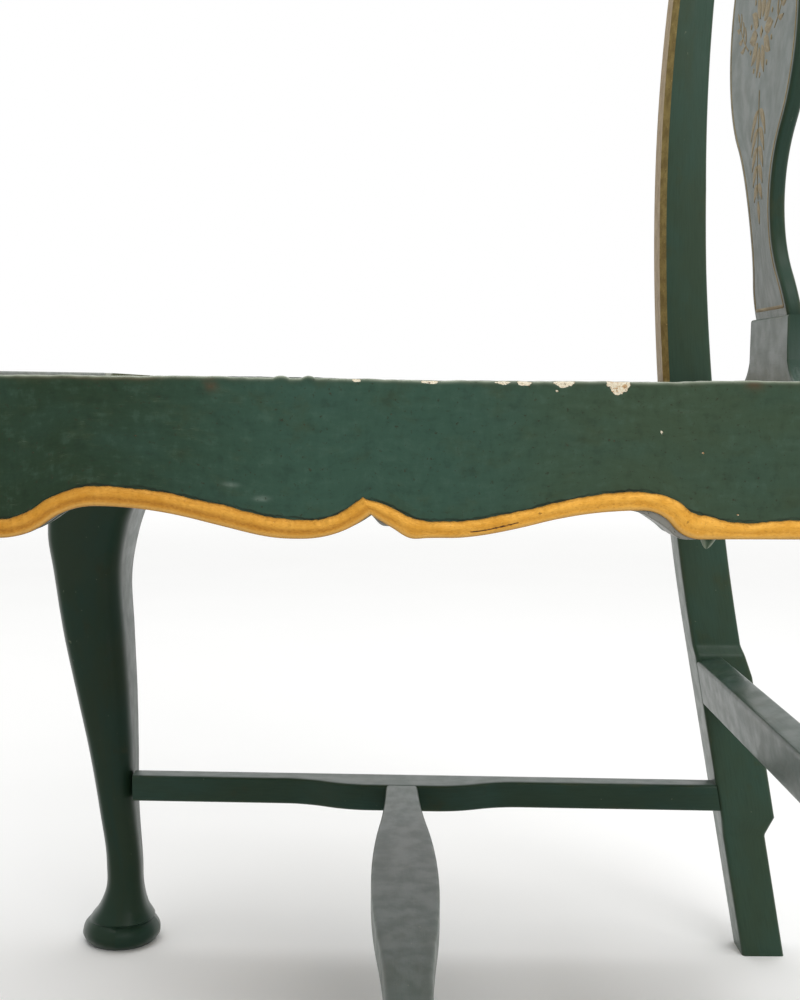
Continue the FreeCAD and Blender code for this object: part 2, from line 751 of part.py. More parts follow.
# Back posts: raked below the seat, leaning above it, in one sawn piece
def rear_post(word, side):
    body = new_body("rear_post_" + word)
    chamfer_z = S["chamfer_start_height"]
    back_y, back_z = leaned(crest_y, crest_z, S["post_top_depth"], NOTHING)
    x0, x1 = flip(side, post_inner, half_rear)
    upper = new_sketch(body, "upper_outline", "YZ", x0)
    loop = Loop(post_front_at(chamfer_z), chamfer_z).arc(waist_y, waist_z, centre_y=waist_z)
    loop.arc(crest_y, crest_z, centre_y=waist_z).line(back_y, back_z)
    loop.arc(waist_y + S["post_waist_depth"], waist_z, centre_y=waist_z)
    loop.arc(post_back_at(chamfer_z), chamfer_z, centre_y=waist_z).draw(upper)
    pad(body, upper, x1 - x0, "upper")
    fronts = ((post_front_at(chamfer_z), chamfer_z), (waist_y, waist_z), (crest_y, crest_z))

    def front_arris(ends):
        on_front = [any(near(p.y, y) and near(p.z, z) for y, z in fronts) for p in ends]
        return all(on_front) and near(ends[0].x, ends[-1].x)

    dress(body, "Chamfer", "front_chamfer", S["post_chamfer"], front_arris)
    x0, x1 = flip(side, post_block_inner, half_rear)
    drawn = new_sketch(body, "lower_outline", "YZ", x0)
    block_top = S["block_top_height"]
    block_rise = block_top - S["rear_shoulder"]
    block_low = S["block_bottom_height"]
    foot_high = block_low - S["lower_shoulder"]
    loop = Loop(post_front_low(NOTHING), NOTHING)
    loop.line(waist_y + S["rake_arc_run"], S["rake_start_height"])
    loop.arc(post_front_at(chamfer_z), chamfer_z, centre_y=waist_z)
    loop.line(post_back_at(chamfer_z), chamfer_z)
    loop.arc(waist_y + S["rake_arc_run"] + S["post_rake_depth"], S["rake_start_height"],
             centre_y=waist_z)
    loop.line(post_front_low(block_top) + S["post_rake_depth"], block_top)
    loop.line(post_front_low(block_rise) + S["post_block_depth"], block_rise)
    loop.line(post_front_low(block_low) + S["post_block_depth"], block_low)
    loop.line(post_front_low(foot_high) + S["post_foot_depth"], foot_high)
    loop.line(post_front_low(NOTHING) + S["post_foot_depth"], NOTHING)
    loop.draw(drawn)
    pad(body, drawn, x1 - x0, "lower")
    margin = S["overrun"]
    relief_depth = post_front_low(NOTHING) + S["post_block_depth"] - waist_y + margin * 2
    reliefs = (("upper", block_top - S["inner_shoulder"], block_top, chamfer_z + margin),
               ("lower", block_low, foot_high, -margin))
    for name, z0, z1, z2 in reliefs:
        cut = new_sketch(body, name + "_relief_outline", "XZ", -(waist_y - margin))
        polygon([((post_block_inner - margin) * side, z0), (post_block_inner * side, z0),
                 (post_inner * side, z1), (post_inner * side, z2),
                 ((post_block_inner - margin) * side, z2)]).draw(cut)
        pocket(body, cut, relief_depth, name + "_relief")
    half = S["post_top_depth"] / 2
    cheek = S["tenon_thickness"] / 2
    middle = half_rear - S["post_width"] / 2
    x0, x1 = flip(side, middle - S["crest_tenon_width"] / 2, middle + S["crest_tenon_width"] / 2)
    tenon = new_sketch(body, "crest_tenon_outline", "YZ", x0)
    polygon([leaned(crest_y, crest_z, half - cheek, -margin),
             leaned(crest_y, crest_z, half + cheek, -margin),
             leaned(crest_y, crest_z, half + cheek, S["crest_tenon_length"]),
             leaned(crest_y, crest_z, half - cheek, S["crest_tenon_length"])]).draw(tenon)
    pad(body, tenon, x1 - x0, "crest_tenon")
    mortise(body, "side_mortise", side, *SIDE_TO_POST)
    mortise(body, "rear_mortise", side, *REAR_TO_POST)
    mortise(body, "stretcher_mortise", side, *stretcher_tenon(front=False))
    rear_stretcher_bar(body, "rear_stretcher_mortise", side, S["joint_gap"], cut=True)
    x0, x1 = flip(side, half_rear - S["rear_peg_length"], half_rear + margin)
    for index, z in enumerate(peg_heights):
        round_hole(body, "peg_hole%d" % index, "YZ", x1, (post_peg_y, z), x1 - x0)


# Rear stretcher, flush with the raked front faces of the posts
def rear_stretcher_bar(body, name, side, gap, cut=False):
    """One tenon of the rear stretcher, or the mortise for it."""
    top = S["rear_stretcher_top"]
    y = post_front_low(top)
    shoulder = S["rear_stretcher_shoulder"]
    middle = S["rear_stretcher_thickness"] / 2
    near = middle - S["rear_tenon_thickness"] / 2 - gap
    far = middle + S["rear_tenon_thickness"] / 2 + gap
    high = shoulder - gap
    low = S["rear_stretcher_height"] - shoulder + gap
    x0, x1 = flip(side, post_block_inner - S["overrun"],
                  post_block_inner + S["rear_tenon_length"] + gap)
    drawn = new_sketch(body, name + "_outline", "YZ", x1 if cut else x0)
    polygon([raked(y, top, near, low), raked(y, top, far, low),
             raked(y, top, far, high), raked(y, top, near, high)]).draw(drawn)
    make = pocket if cut else pad
    make(body, drawn, x1 - x0, name)


def rear_stretcher():
    body = new_body("rear_stretcher")
    top = S["rear_stretcher_top"]
    y = post_front_low(top)
    thick = S["rear_stretcher_thickness"]
    high = S["rear_stretcher_height"]
    drawn = new_sketch(body, "outline", "YZ", -post_block_inner)
    polygon([raked(y, top, NOTHING, high), raked(y, top, thick, high),
             raked(y, top, thick, NOTHING), raked(y, top, NOTHING, NOTHING)]).draw(drawn)
    pad(body, drawn, post_block_inner * 2, "bar")
    for word, side in LEFT_AND_RIGHT:
        rear_stretcher_bar(body, "tenon_" + word, side, NOTHING)


# Side stretchers and the medial stretcher between them
stretcher_low = S["side_stretcher_height"] - S["side_stretcher_thickness"] / 2
stretcher_high = S["side_stretcher_height"] + S["side_stretcher_thickness"] / 2
stretcher_front = block_rear - S["stretcher_housing"]
stretcher_rear = post_front_low(stretcher_low)
stretcher_front_x = half_front - S["front_leg_block"] / 2 + S["stretcher_outset"]
stretcher_rear_x = half_rear - S["post_block_width"] / 2
stretcher_slope = (stretcher_front_x - stretcher_rear_x) / (stretcher_rear - stretcher_front)


def stretcher_x(y):
    """X of the left side stretcher's middle line at a place along the chair."""
    return stretcher_front_x - (y - stretcher_front) * stretcher_slope


def stretcher_housing():
    half = S["side_stretcher_width"] / 2
    return ((stretcher_front_x - half, stretcher_front, stretcher_low),
            (stretcher_front_x + half, block_rear + S["overrun"], stretcher_high))


def stretcher_tenon(front):
    half = S["stretcher_tenon_width"] / 2
    cheek = S["stretcher_tenon_thickness"] / 2
    middle = stretcher_front_x if front else stretcher_rear_x
    margin = S["overrun"] * 2
    if front:
        y0 = stretcher_front - S["stretcher_tenon_length"]
        y1 = stretcher_front + margin
    else:
        y0 = stretcher_rear - margin
        y1 = stretcher_rear + S["stretcher_tenon_length"]
    z = S["side_stretcher_height"]
    return (middle - half, y0, z - cheek), (middle + half, y1, z + cheek)


def side_stretcher(word, side):
    body = new_body("side_stretcher_" + word)
    half = S["side_stretcher_width"] / 2
    swell = half + S["side_stretcher_swell"]
    middle = S["medial_from_cusp"]
    reach = S["side_stretcher_swell_reach"]
    flat = S["side_stretcher_swell_flat"]
    drawn = new_sketch(body, "outline", "XY", stretcher_low)

    def edge(y, out):
        return (stretcher_x(y) + out) * side, y

    loop = Loop(*edge(stretcher_front, -half)).line(*edge(stretcher_front, half))
    loop.line(*edge(stretcher_rear, half)).line(*edge(stretcher_rear, -half))
    loop.line(*edge(middle + reach, -half)).s_along(*edge(middle + flat, -swell))
    loop.line(*edge(middle - flat, -swell)).s_along(*edge(middle - reach, -half))
    loop.draw(drawn)
    pad(body, drawn, S["side_stretcher_thickness"], "bar")
    margin = S["overrun"]
    low = stretcher_low - margin
    high = stretcher_high + margin
    beyond = stretcher_rear + margin * 2
    x0, x1 = flip(side, stretcher_rear_x - half - margin, stretcher_rear_x + half + margin)
    slant = new_sketch(body, "rear_end_outline", "YZ", x1)
    polygon([(post_front_low(low), low), (beyond, low), (beyond, high),
             (post_front_low(high), high)]).draw(slant)
    pocket(body, slant, x1 - x0, "rear_end")
    side_block(body, "front_tenon", side, *stretcher_tenon(front=True))
    side_block(body, "rear_tenon", side, *stretcher_tenon(front=False))
    mortise(body, "medial_mortise", side, *medial_tenon())


medial_end = stretcher_x(S["medial_from_cusp"] + S["medial_width"] / 2) \
    - S["side_stretcher_width"] / 2 - S["side_stretcher_swell"]


def medial_tenon():
    half = S["stretcher_tenon_width"] / 2
    cheek = S["stretcher_tenon_thickness"] / 2
    y = S["medial_from_cusp"]
    z = S["side_stretcher_height"]
    return ((medial_end - S["overrun"], y - half, z - cheek),
            (medial_end + S["medial_tenon_length"], y + half, z + cheek))


def medial_stretcher():
    body = new_body("medial_stretcher")
    half = S["medial_width"] / 2
    swell = half + S["medial_swell"]
    y = S["medial_from_cusp"]
    drawn = new_sketch(body, "outline", "XY", stretcher_low)
    loop = Loop(-medial_end, y - half).s_across(NOTHING, y - swell)
    loop.s_across(medial_end, y - half).line(medial_end, y + half)
    loop.s_across(NOTHING, y + swell).s_across(-medial_end, y + half).draw(drawn)
    pad(body, drawn, S["side_stretcher_thickness"], "bar")
    for word, side in LEFT_AND_RIGHT:
        side_block(body, "tenon_" + word, side, *medial_tenon())


# Crest rail, drawn in the leaning plane of the posts' tops
def crest_rail():
    body = new_body("crest_rail")
    body.Placement = FreeCAD.Placement(
        FreeCAD.Vector(0, (cusp_y + crest_y).value, crest_z.value),
        FreeCAD.Rotation(FreeCAD.Vector(-1, 0, 0), 1))
    body.setExpression("Placement.Base.y", (cusp_y + crest_y).text)
    body.setExpression("Placement.Base.z", crest_z.text)
    body.setExpression("Placement.Rotation.Angle", "asin(%s)" % lean_sine.text)
    thick = S["post_top_depth"]
    drawn = new_sketch(body, "outline", "XZ", -thick)
    foot = half_rear + S["crest_foot_overhang"]
    ear = half_rear + S["crest_ear_overhang"]
    ear_z = S["crest_ear_height"]
    bend = S["crest_shoulder_radius"]
    bottom = post_inner - S["crest_foot_margin"]
    tongue = S["crest_tongue_reach"]
    foot_line = S["crest_arch_rise"] + S["same_place"]
    loop = Loop(foot, NOTHING).s_along(ear, ear_z)
    loop.arc(ear - bend, ear_z + bend, centre_x=ear - bend)
    loop.s_across(S["crest_saddle_reach"], S["crest_saddle_height"])
    loop.s_across(NOTHING, S["crest_height"])
    loop.s_across(-S["crest_saddle_reach"], S["crest_saddle_height"])
    loop.s_across(bend - ear, ear_z + bend)
    loop.arc(-ear, ear_z, centre_x=bend - ear).s_along(-foot, NOTHING)
    loop.line(-bottom, NOTHING).s_across(-S["crest_arch_reach"], S["crest_arch_rise"])
    loop.s_across(-tongue, S["crest_tongue_rise"]).line(tongue, S["crest_tongue_rise"])
    loop.s_across(S["crest_arch_reach"], S["crest_arch_rise"]).s_across(bottom, NOTHING)
    loop.draw(drawn)
    pad(body, drawn, thick, "rail")
    dress(body, "Fillet", "rounded_edges", S["crest_edge_round"],
          lambda ends: near(ends[0].y, ends[-1].y) and max(p.z for p in ends) > foot_line.value)
    middle = half_rear - S["post_width"] / 2
    half = S["crest_tenon_width"] / 2
    cheek = S["tenon_thickness"] / 2
    for word, side in LEFT_AND_RIGHT:
        mortise(body, "mortise_" + word, side,
                (middle - half, thick / 2 - cheek, -S["overrun"]),
                (middle + half, thick / 2 + cheek, S["crest_tenon_length"]))
    groove = S["splat_thickness"] / 2
    head = S["splat_head_half"]
    depth = S["crest_tongue_rise"] + S["splat_tongue"] + S["groove_clearance"]
    mortise(body, "splat_groove", 1, (-head, thick / 2 - groove, -S["overrun"]),
            (head, thick / 2 + groove, depth))


# Splat: a thin bent board, sawn to a vase
def splat():
    body = new_body("splat")
    half = S["splat_thickness"] / 2
    slim = S["splat_tongue_thickness"] / 2
    middle = S["post_top_depth"] / 2
    foot = S["shoe_top"]
    heel = foot - S["splat_tongue"]
    upright_z = foot + S["splat_bend_run"]
    top_y, top_z = leaned(crest_y, crest_z, middle, NOTHING)
    bend_z = top_z - (top_y - splat_waist_y) / (-lean_cosine + 1) * lean_sine
    entry = S["crest_tongue_rise"] + S["splat_tongue"]
    reach = S["splat_belly_half"]
    drawn = new_sketch(body, "side_outline", "YZ", -reach)
    loop = Loop(splat_base_y - slim, heel).line(splat_base_y - slim, foot)
    loop.line(splat_base_y - half, foot)
    loop.arc(splat_waist_y - half, upright_z, centre_y=upright_z)
    loop.line(splat_waist_y - half, bend_z)
    loop.arc(*leaned(crest_y, crest_z, middle - half, NOTHING), centre_y=bend_z)
    loop.line(*leaned(crest_y, crest_z, middle - half, entry))
    loop.line(*leaned(crest_y, crest_z, middle + half, entry))
    loop.line(*leaned(crest_y, crest_z, middle + half, NOTHING))
    loop.arc(splat_waist_y + half, bend_z, centre_y=bend_z)
    loop.line(splat_waist_y + half, upright_z)
    loop.arc(splat_base_y + half, foot, centre_y=upright_z)
    loop.line(splat_base_y + slim, foot).line(splat_base_y + slim, heel).draw(drawn)
    pad(body, drawn, reach * 2, "board")
    top = crest_z + S["crest_height"]
    limit = reach + S["overrun"]
    base = heel - S["overrun"]
    y0 = splat_waist_y - half - S["overrun"]
    depth = crest_y + S["post_top_depth"] + S["crest_height"] - y0
    for word, side in LEFT_AND_RIGHT:
        cut = new_sketch(body, "vase_outline_" + word, "XZ", -y0)
        loop = Loop(S["splat_base_half"] * side, base).line(S["splat_base_half"] * side, foot)
        stops = (("ankle", S["splat_ankle_height"]), ("belly", S["splat_belly_height"]),
                 ("neck", S["splat_neck_height"]), ("head", S["splat_head_height"]))
        for name, z in stops:
            loop.s_along(S["splat_%s_half" % name] * side, z)
        loop.line(S["splat_head_half"] * side, top)
        loop.line(limit * side, top).line(limit * side, base).draw(cut)
        pocket(body, cut, depth, "vase_" + word)


# Shoe that holds the foot of the splat, on top of the rear rail
def splat_shoe():
    body = new_body("splat_shoe")
    back = rear_rail_back
    thick = S["shoe_thickness"]
    strip = S["rail_top"] - S["seat_drop"]
    half = S["shoe_half"]
    skirt = S["shoe_skirt"]
    top = S["shoe_top"]
    drawn = new_sketch(body, "outline", "XZ", -back)
    loop = Loop(-post_inner, ledge_z).line(post_inner, ledge_z).line(post_inner, strip)
    loop.line(skirt, strip).arc(half, top, centre_x=skirt)
    loop.line(-half, top).arc(-skirt, strip, centre_x=-skirt)
    loop.line(-post_inner, strip).draw(drawn)
    pad(body, drawn, thick, "shoe")
    slim = S["splat_tongue_thickness"] / 2
    depth = S["splat_tongue"] + S["groove_clearance"]
    mortise(body, "splat_groove", 1, (-S["splat_base_half"], splat_base_y - slim, top - depth),
            (S["splat_base_half"], splat_base_y + slim, top + S["overrun"]))


# Slip seat: a wooden frame wrapped in rush, which lifts out of the rebate
seat_front = block_front + S["seat_lip"] + S["seat_gap"]
seat_notch_y = rail_rear - S["seat_gap"]
seat_notch_x = post_inner - S["seat_gap"]
seat_rear = rear_rail_back - S["shoe_thickness"] - S["seat_gap"]
seat_top = S["rail_top"] - S["seat_drop"]


def seat_corners(inset):
    """The slip seat's plan, drawn in by `inset`, with notches round the back posts."""
    front = seat_front + inset
    notch_y = seat_notch_y - inset
    notch_x = seat_notch_x - inset
    rear = seat_rear - inset
    edge = S["seat_lip"] + S["seat_gap"] + inset
    half = [(rail_outer(front) - edge, front), (rail_outer(notch_y) - edge, notch_y),
            (notch_x, notch_y), (notch_x, rear)]
    return half + [(-x, y) for x, y in reversed(half)]


def rush_seat():
    body = new_body("rush_seat")
    drawn = new_sketch(body, "outline", "XY", ledge_z)
    polygon(seat_corners(NOTHING)).draw(drawn)
    pad(body, drawn, seat_top - ledge_z, "rush")
    dress(body, "Fillet", "rounded_edges", S["rush_round"], lambda ends: near(ends[0].z, ends[-1].z))
    wrap = S["rush_wrap"]
    bar = S["seat_bar_width"]
    ring = new_sketch(body, "frame_outline", "XY", seat_top - wrap)
    polygon(seat_corners(wrap)).draw(ring)
    edge = S["seat_lip"] + S["seat_gap"] + wrap + bar
    y0 = seat_front + wrap + bar
    y1 = seat_rear - wrap - bar
    polygon([(rail_outer(y0) - edge, y0), (rail_outer(y1) - edge, y1),
             (edge - rail_outer(y1), y1), (edge - rail_outer(y0), y0)]).draw(ring)
    pocket(body, ring, seat_top - ledge_z - wrap * 2, "frame_space")


def seat_bar(name, corners):
    body = new_body("slip_seat_" + name)
    drawn = new_sketch(body, "outline", "XY", ledge_z + S["rush_wrap"])
    polygon(corners).draw(drawn)
    pad(body, drawn, seat_top - ledge_z - S["rush_wrap"] * 2, "bar")


def seat_bars():
    wrap = S["rush_wrap"]
    bar = S["seat_bar_width"]
    corners = seat_corners(wrap)
    edge = S["seat_lip"] + S["seat_gap"] + wrap
    y0 = seat_front + wrap + bar
    y1 = seat_rear - wrap - bar
    front_x = rail_outer(y0) - edge
    rear_x = rail_outer(y1) - edge
    seat_bar("front_bar", [corners[0], (front_x, y0), (-front_x, y0), corners[-1]])
    seat_bar("rear_bar", [(rear_x, y1)] + corners[1:-1] + [(-rear_x, y1)])
    for word, side in LEFT_AND_RIGHT:
        seat_bar(word + "_bar", [(front_x * side, y0), (rear_x * side, y1),
                                 ((rear_x - bar) * side, y1), ((front_x - bar) * side, y0)])


# Glued blocks inside the corners of the seat frame
def corner_blocks(word, side):
    back = block_front + S["rail_thickness"]
    reach = S["front_block_reach"]
    thick = S["rail_thickness"]
    front_y = block_rear + reach
    front = [(block_inner - reach, back), (block_inner, back), (block_inner, block_rear),
             (half_front - thick, block_rear), (rail_outer(front_y) - thick, front_y)]
    reach = S["rear_block_reach"]
    rear_y = rail_rear - reach
    rear_x = rail_outer(rail_rear_low) - thick
    rear = [(rail_outer(rear_y) - thick, rear_y), (rear_x, rail_rear_low),
            (rear_x, rear_rail_front), (rear_x - reach, rear_rail_front)]
    for name, corners in (("front", front), ("rear", rear)):
        body = new_body("corner_block_%s_%s" % (name, word))
        drawn = new_sketch(body, "outline", "XY",
                           ledge_z - S["corner_block_drop"] - S["corner_block_height"])
        polygon([(x * side, y) for x, y in corners]).draw(drawn)
        pad(body, drawn, S["corner_block_height"], "block")


# Wooden pegs that pin the tenons
def peg(name, base, axis, length):
    """One round peg from a place along an axis."""
    made = doc.addObject("Part::Cylinder", name)
    made.Radius = S["peg_radius"].value
    made.setExpression("Radius", S["peg_radius"].text)
    made.Height = length.value
    made.setExpression("Height", length.text)
    made.Placement = FreeCAD.Placement(
        FreeCAD.Vector(*[place.value for place in base]),
        FreeCAD.Rotation(FreeCAD.Vector(0, 0, 1), axis))
    for letter, place in zip("xyz", base):
        made.setExpression("Placement.Base." + letter, place.text)
    return made


def peg_set(name, word, made):
    group = doc.addObject("Part::Compound", "%s_%s" % (name, word))
    group.Label = "%s_%s" % (name, word)
    group.Links = made
    nodes.append(group)


def pegs(word, side):
    inwards = FreeCAD.Vector(-side, 0, 0)
    backwards = FreeCAD.Vector(0, 1, 0)
    stand = S["peg_stand"]
    made = []
    for index, z in enumerate(peg_heights):
        made.append(peg("side_peg_%s%d" % (word, index),
                        ((half_front + stand) * side, cusp_y + leg_peg_y, z), inwards,
                        S["peg_length"]))
        made.append(peg("front_peg_%s%d" % (word, index),
                        (leg_peg_x * side, cusp_y + block_front - stand, z), backwards,
                        S["peg_length"]))
    peg_set("front_leg_pegs", word, made)
    made = [peg("post_peg_%s%d" % (word, index),
                ((half_rear + stand) * side, cusp_y + post_peg_y, z), inwards,
                S["rear_peg_length"]) for index, z in enumerate(peg_heights)]
    peg_set("rear_post_pegs", word, made)


# The whole chair
for word, side in LEFT_AND_RIGHT:
    front_leg(word, side)
    rear_post(word, side)
    side_rail(word, side)
    side_bead(word, side)
    side_stretcher(word, side)
    corner_blocks(word, side)
    pegs(word, side)
front_rail()
front_bead()
rear_rail()
rear_stretcher()
medial_stretcher()
crest_rail()
splat()
splat_shoe()
rush_seat()
seat_bars()
doc.recompute()

for made in doc.Objects:
    if "Invalid" in made.State or "Error" in made.State:
        raise RuntimeError("%s did not build: %s" % (made.Label, made.State))
for node in nodes:
    if node.Shape.isNull() or not node.Shape.isValid():
        raise RuntimeError("%s has no valid shape" % node.Label)
os.makedirs("parts", exist_ok=True)
for node in nodes:
    node.Shape.exportStep("parts/%s.step" % node.Label)
    print(node.Label, len(node.Shape.Solids), round(node.Shape.Volume))
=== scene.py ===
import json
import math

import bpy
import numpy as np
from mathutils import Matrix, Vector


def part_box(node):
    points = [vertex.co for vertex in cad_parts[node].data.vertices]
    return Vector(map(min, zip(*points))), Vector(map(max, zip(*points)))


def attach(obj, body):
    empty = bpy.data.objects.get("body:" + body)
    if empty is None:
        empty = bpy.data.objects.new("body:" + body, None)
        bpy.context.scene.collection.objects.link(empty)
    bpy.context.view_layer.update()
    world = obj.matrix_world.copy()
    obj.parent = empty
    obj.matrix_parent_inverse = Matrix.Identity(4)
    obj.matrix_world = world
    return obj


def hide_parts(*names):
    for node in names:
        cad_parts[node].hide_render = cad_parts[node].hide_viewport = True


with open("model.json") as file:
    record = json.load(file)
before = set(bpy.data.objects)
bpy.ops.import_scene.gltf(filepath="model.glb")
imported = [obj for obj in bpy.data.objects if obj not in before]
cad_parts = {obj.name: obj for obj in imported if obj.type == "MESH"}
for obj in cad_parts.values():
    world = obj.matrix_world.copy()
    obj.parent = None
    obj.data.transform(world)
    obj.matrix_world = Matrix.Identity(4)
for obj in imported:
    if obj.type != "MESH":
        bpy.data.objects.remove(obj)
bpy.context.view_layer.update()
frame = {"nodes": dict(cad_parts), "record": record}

# %% [markdown]
# # A painted side chair
# The chair stands on a pale floor and is seen from its left side, close to the scalloped rail
# of the seat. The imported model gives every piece's place. The scene dresses each piece with a
# shape that has soft, worn arrises and with finishes made of nodes: old green paint, gold
# paint, bare wood and twisted rush. All shapes are worked out in millimetres, because a
# chair maker thinks in them, and turned into metres when a mesh is made.

MM = 0.001

# %% [markdown]
# ## The chair's own measures
# A joiner sets a chair out from a few measures: the seat's plan, the rail's depth, and the two
# arcs of the back posts. They are written here once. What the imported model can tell, such as
# the rail's top and bottom and the front of the knee, is read from its boxes.

# %% Measures in millimetres
leg_box = np.array(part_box("front_leg_left")) / MM
rail_box = np.array(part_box("side_rail_left")) / MM
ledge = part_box("rear_rail")[1][2] / MM
rail_low = rail_box[0, 2]
rail_top = rail_box[1, 2]
lip_top = 442.0
half_front = 247.0
half_rear = 226.5
leg_block = 45.0
knee_bulge = 34.0
rail_thick = 30.0
seat_lip = 16.0
cusp_run = 173.0
waist_run = 206.3
block_inner = half_front - leg_block
block_front = leg_box[0, 1] + knee_bulge
block_rear = block_front + leg_block
cusp_y = block_rear + cusp_run
waist_y = cusp_y + waist_run
waist_z = 580.0
rake_start = 250.0
rake_run = 30.2
post_top = 900.0
lean_run = 36.0
post_width = 30.0
post_block = 35.0
post_inner = half_rear - post_width
splat_y = waist_y + 24.0
splat_bend = 11.0
shoe_thick = 12.0
rail_back = splat_y + splat_bend + shoe_thick / 2
crest_deep = 24.0
print("cusp of the side rails at y =", round(cusp_y, 2), "mm")

# %% [markdown]
# ## Arcs and swings
# A chair's curves are drawn with compasses and patterns. Two equal arcs that join smoothly
# make the S of a scallop, and one arc makes each bend of a post. They are written as
# functions of whole arrays, so one call gives a curve of any fineness.

# %% Curves


def arc_radius(along, aside):
    """Radius of an arc that leaves its tangent by `aside` after a run of `along`."""
    return (along * along + aside * aside) / (2 * aside)


def swing(x, x0, z0, x1, z1):
    """Two equal arcs from one level to another: the first half leaves z0 along a circle of
    radius (run squared plus rise squared) over four rises, the second mirrors it into z1."""
    run = abs(x1 - x0)
    rise = abs(z1 - z0)
    radius = (run * run + rise * rise) / (4 * rise)
    near = np.clip(np.abs(x - x0), 0, run / 2)
    far = np.clip(np.abs(x - x1), 0, run / 2)
    first = radius - np.sqrt(radius ** 2 - near ** 2)
    second = radius - np.sqrt(radius ** 2 - far ** 2)
    way = np.sign(z1 - z0)
    return np.where(np.abs(x - x0) < run / 2, z0 + way * first, z1 - way * second)


def smoothly(x, x0, x1):
    """0 before x0, 1 after x1, and three t squared minus two t cubed between them."""
    t = np.clip((x - x0) / (x1 - x0), 0, 1)
    return t * t * (3 - 2 * t)


def through(z, known_z, known):
    """A smooth line through known values: cubic pieces whose slope at each known value is the
    mean slope of its neighbours."""
    slope = np.gradient(known, known_z)
    i = np.clip(np.searchsorted(known_z, z) - 1, 0, len(known_z) - 2)
    step = known_z[i + 1] - known_z[i]
    t = (z - known_z[i]) / step
    return ((1 + 2 * t) * (1 - t) ** 2 * known[i] + t * (1 - t) ** 2 * step * slope[i]
            + t * t * (3 - 2 * t) * known[i + 1] - t * t * (1 - t) * step * slope[i + 1])


def ripple(x, seed, waves=6, longest=60.0):
    """Hand-made unevenness along a line: a few sines with random phases, from the longest
    wave down to a tenth of it, scaled to about one."""
    rng = np.random.default_rng(seed)
    lengths = longest / np.linspace(1, 10, waves)
    phases = rng.uniform(0, 2 * math.pi, waves)
    terms = [np.sin(2 * math.pi * x / w + p) / (k + 1)
             for k, (w, p) in enumerate(zip(lengths, phases))]
    return np.sum(terms, axis=0)


def unit(v):
    return v / np.linalg.norm(v, axis=-1, keepdims=True)


def xyz(x, y, z):
    """Points from three coordinates, of which any may be one number for all points."""
    return np.stack(np.broadcast_arrays(x, y, z), axis=-1)


rake_radius = arc_radius(waist_z - rake_start, rake_run)
rake_slope = (waist_z - rake_start) / (rake_radius - rake_run)
lean_radius = arc_radius(post_top - waist_z, lean_run)
lean = math.asin((post_top - waist_z) / lean_radius)
print("the back leans", round(math.degrees(lean), 1), "degrees at its top")


def post_front(z):
    """Y of the back posts' front face: a straight raked foot, then an arc that is upright at
    the waist and leans back above it."""
    down = np.clip(waist_z - z, 0, waist_z - rake_start)
    up = np.clip(z - waist_z, 0, None)
    arc = rake_radius - np.sqrt(rake_radius ** 2 - down ** 2)
    foot = np.clip(rake_start - z, 0, None) * rake_slope
    return waist_y + arc + foot + lean_radius - np.sqrt(lean_radius ** 2 - up ** 2)


side_slope = (half_front - half_rear) / (post_front(rail_top) - block_rear)


def rail_outer(y):
    """X of the left side rail's outer face, which comes in towards the back."""
    return half_front - (y - block_rear) * side_slope


# %% [markdown]
# ## Turning grids of points into pieces
# Every new piece here is a surface on a grid: stations along the piece, and points round its
# section at each station. Skin such a grid by joining neighbours with four-sided faces and
# closing both ends, and the result is a solid. The grid also gives a paint map, with the length
# along the piece first and the way round it second, so that brush strokes follow the piece.

# %% Making a mesh from grids


def shell(grid, paint=0, wrap=True, caps=True, **marks):
    """One grid of points, stations by points round the section, with what is marked on it."""
    return {"grid": grid, "paint": paint, "wrap": wrap, "caps": caps, "marks": marks}


def skin(one, first):
    """Four-sided faces between neighbouring points, the ends' polygons, and the paint map.

    The faces are turned round where the sum of each face's area times its distance from the
    middle comes out negative, because then they look inwards."""
    grid = one["grid"]
    n, m = grid.shape[:2]
    cols = m if one["wrap"] else m - 1
    index = np.arange(n * m).reshape(n, m)
    right = np.roll(index, -1, axis=1)[:, :cols]
    left = index[:, :cols]
    quads = np.stack([left[:-1], right[:-1], right[1:], left[1:]], axis=-1).reshape(-1, 4)
    flat = grid.reshape(-1, 3)
    corners = flat[quads]
    area = np.cross(corners[:, 2] - corners[:, 0], corners[:, 3] - corners[:, 1])
    out = np.sum(area * (corners.mean(axis=1) - flat.mean(axis=0)))
    along = np.linalg.norm(np.diff(grid.mean(axis=1), axis=0), axis=1)
    along = np.concatenate([[0], np.cumsum(along)])
    widest = np.argmax(np.linalg.norm(grid - grid.mean(axis=1, keepdims=True), axis=2).sum(axis=1))
    ring = np.concatenate([grid[widest], grid[widest][:1]])
    round_it = np.concatenate([[0], np.cumsum(np.linalg.norm(np.diff(ring, axis=0), axis=1))])
    u = np.broadcast_to(along[:, None], (n, m + 1))
    v = np.broadcast_to(round_it[None, :], (n, m + 1))
    both = np.stack([u, v], axis=-1) * MM
    maps = np.stack([both[:-1, :cols], both[:-1, 1:cols + 1],
                     both[1:, 1:cols + 1], both[1:, :cols]], axis=2).reshape(-1, 4, 2)
    if out < 0:
        quads = quads[:, ::-1]
        maps = maps[:, ::-1]
    faces = (quads + first).tolist()
    uvs = [maps.reshape(-1, 2)]
    paint = one["paint"]
    paint = np.full((n - 1, cols), paint) if np.isscalar(paint) else paint[:, :cols]
    paints = [paint.ravel()]
    if one["caps"]:
        ends = [index[0][::-1], index[-1]]
        if out < 0:
            ends = [end[::-1] for end in ends]
        for end, station in zip(ends, (0, -1)):
            faces.append((end + first).tolist())
            at = flat[end]
            uvs.append((at[:, [0, 2]] + at[:, [1, 1]]) * MM)
            paints.append([paint[station, 0]])
    return faces, np.concatenate(uvs), np.concatenate(paints)


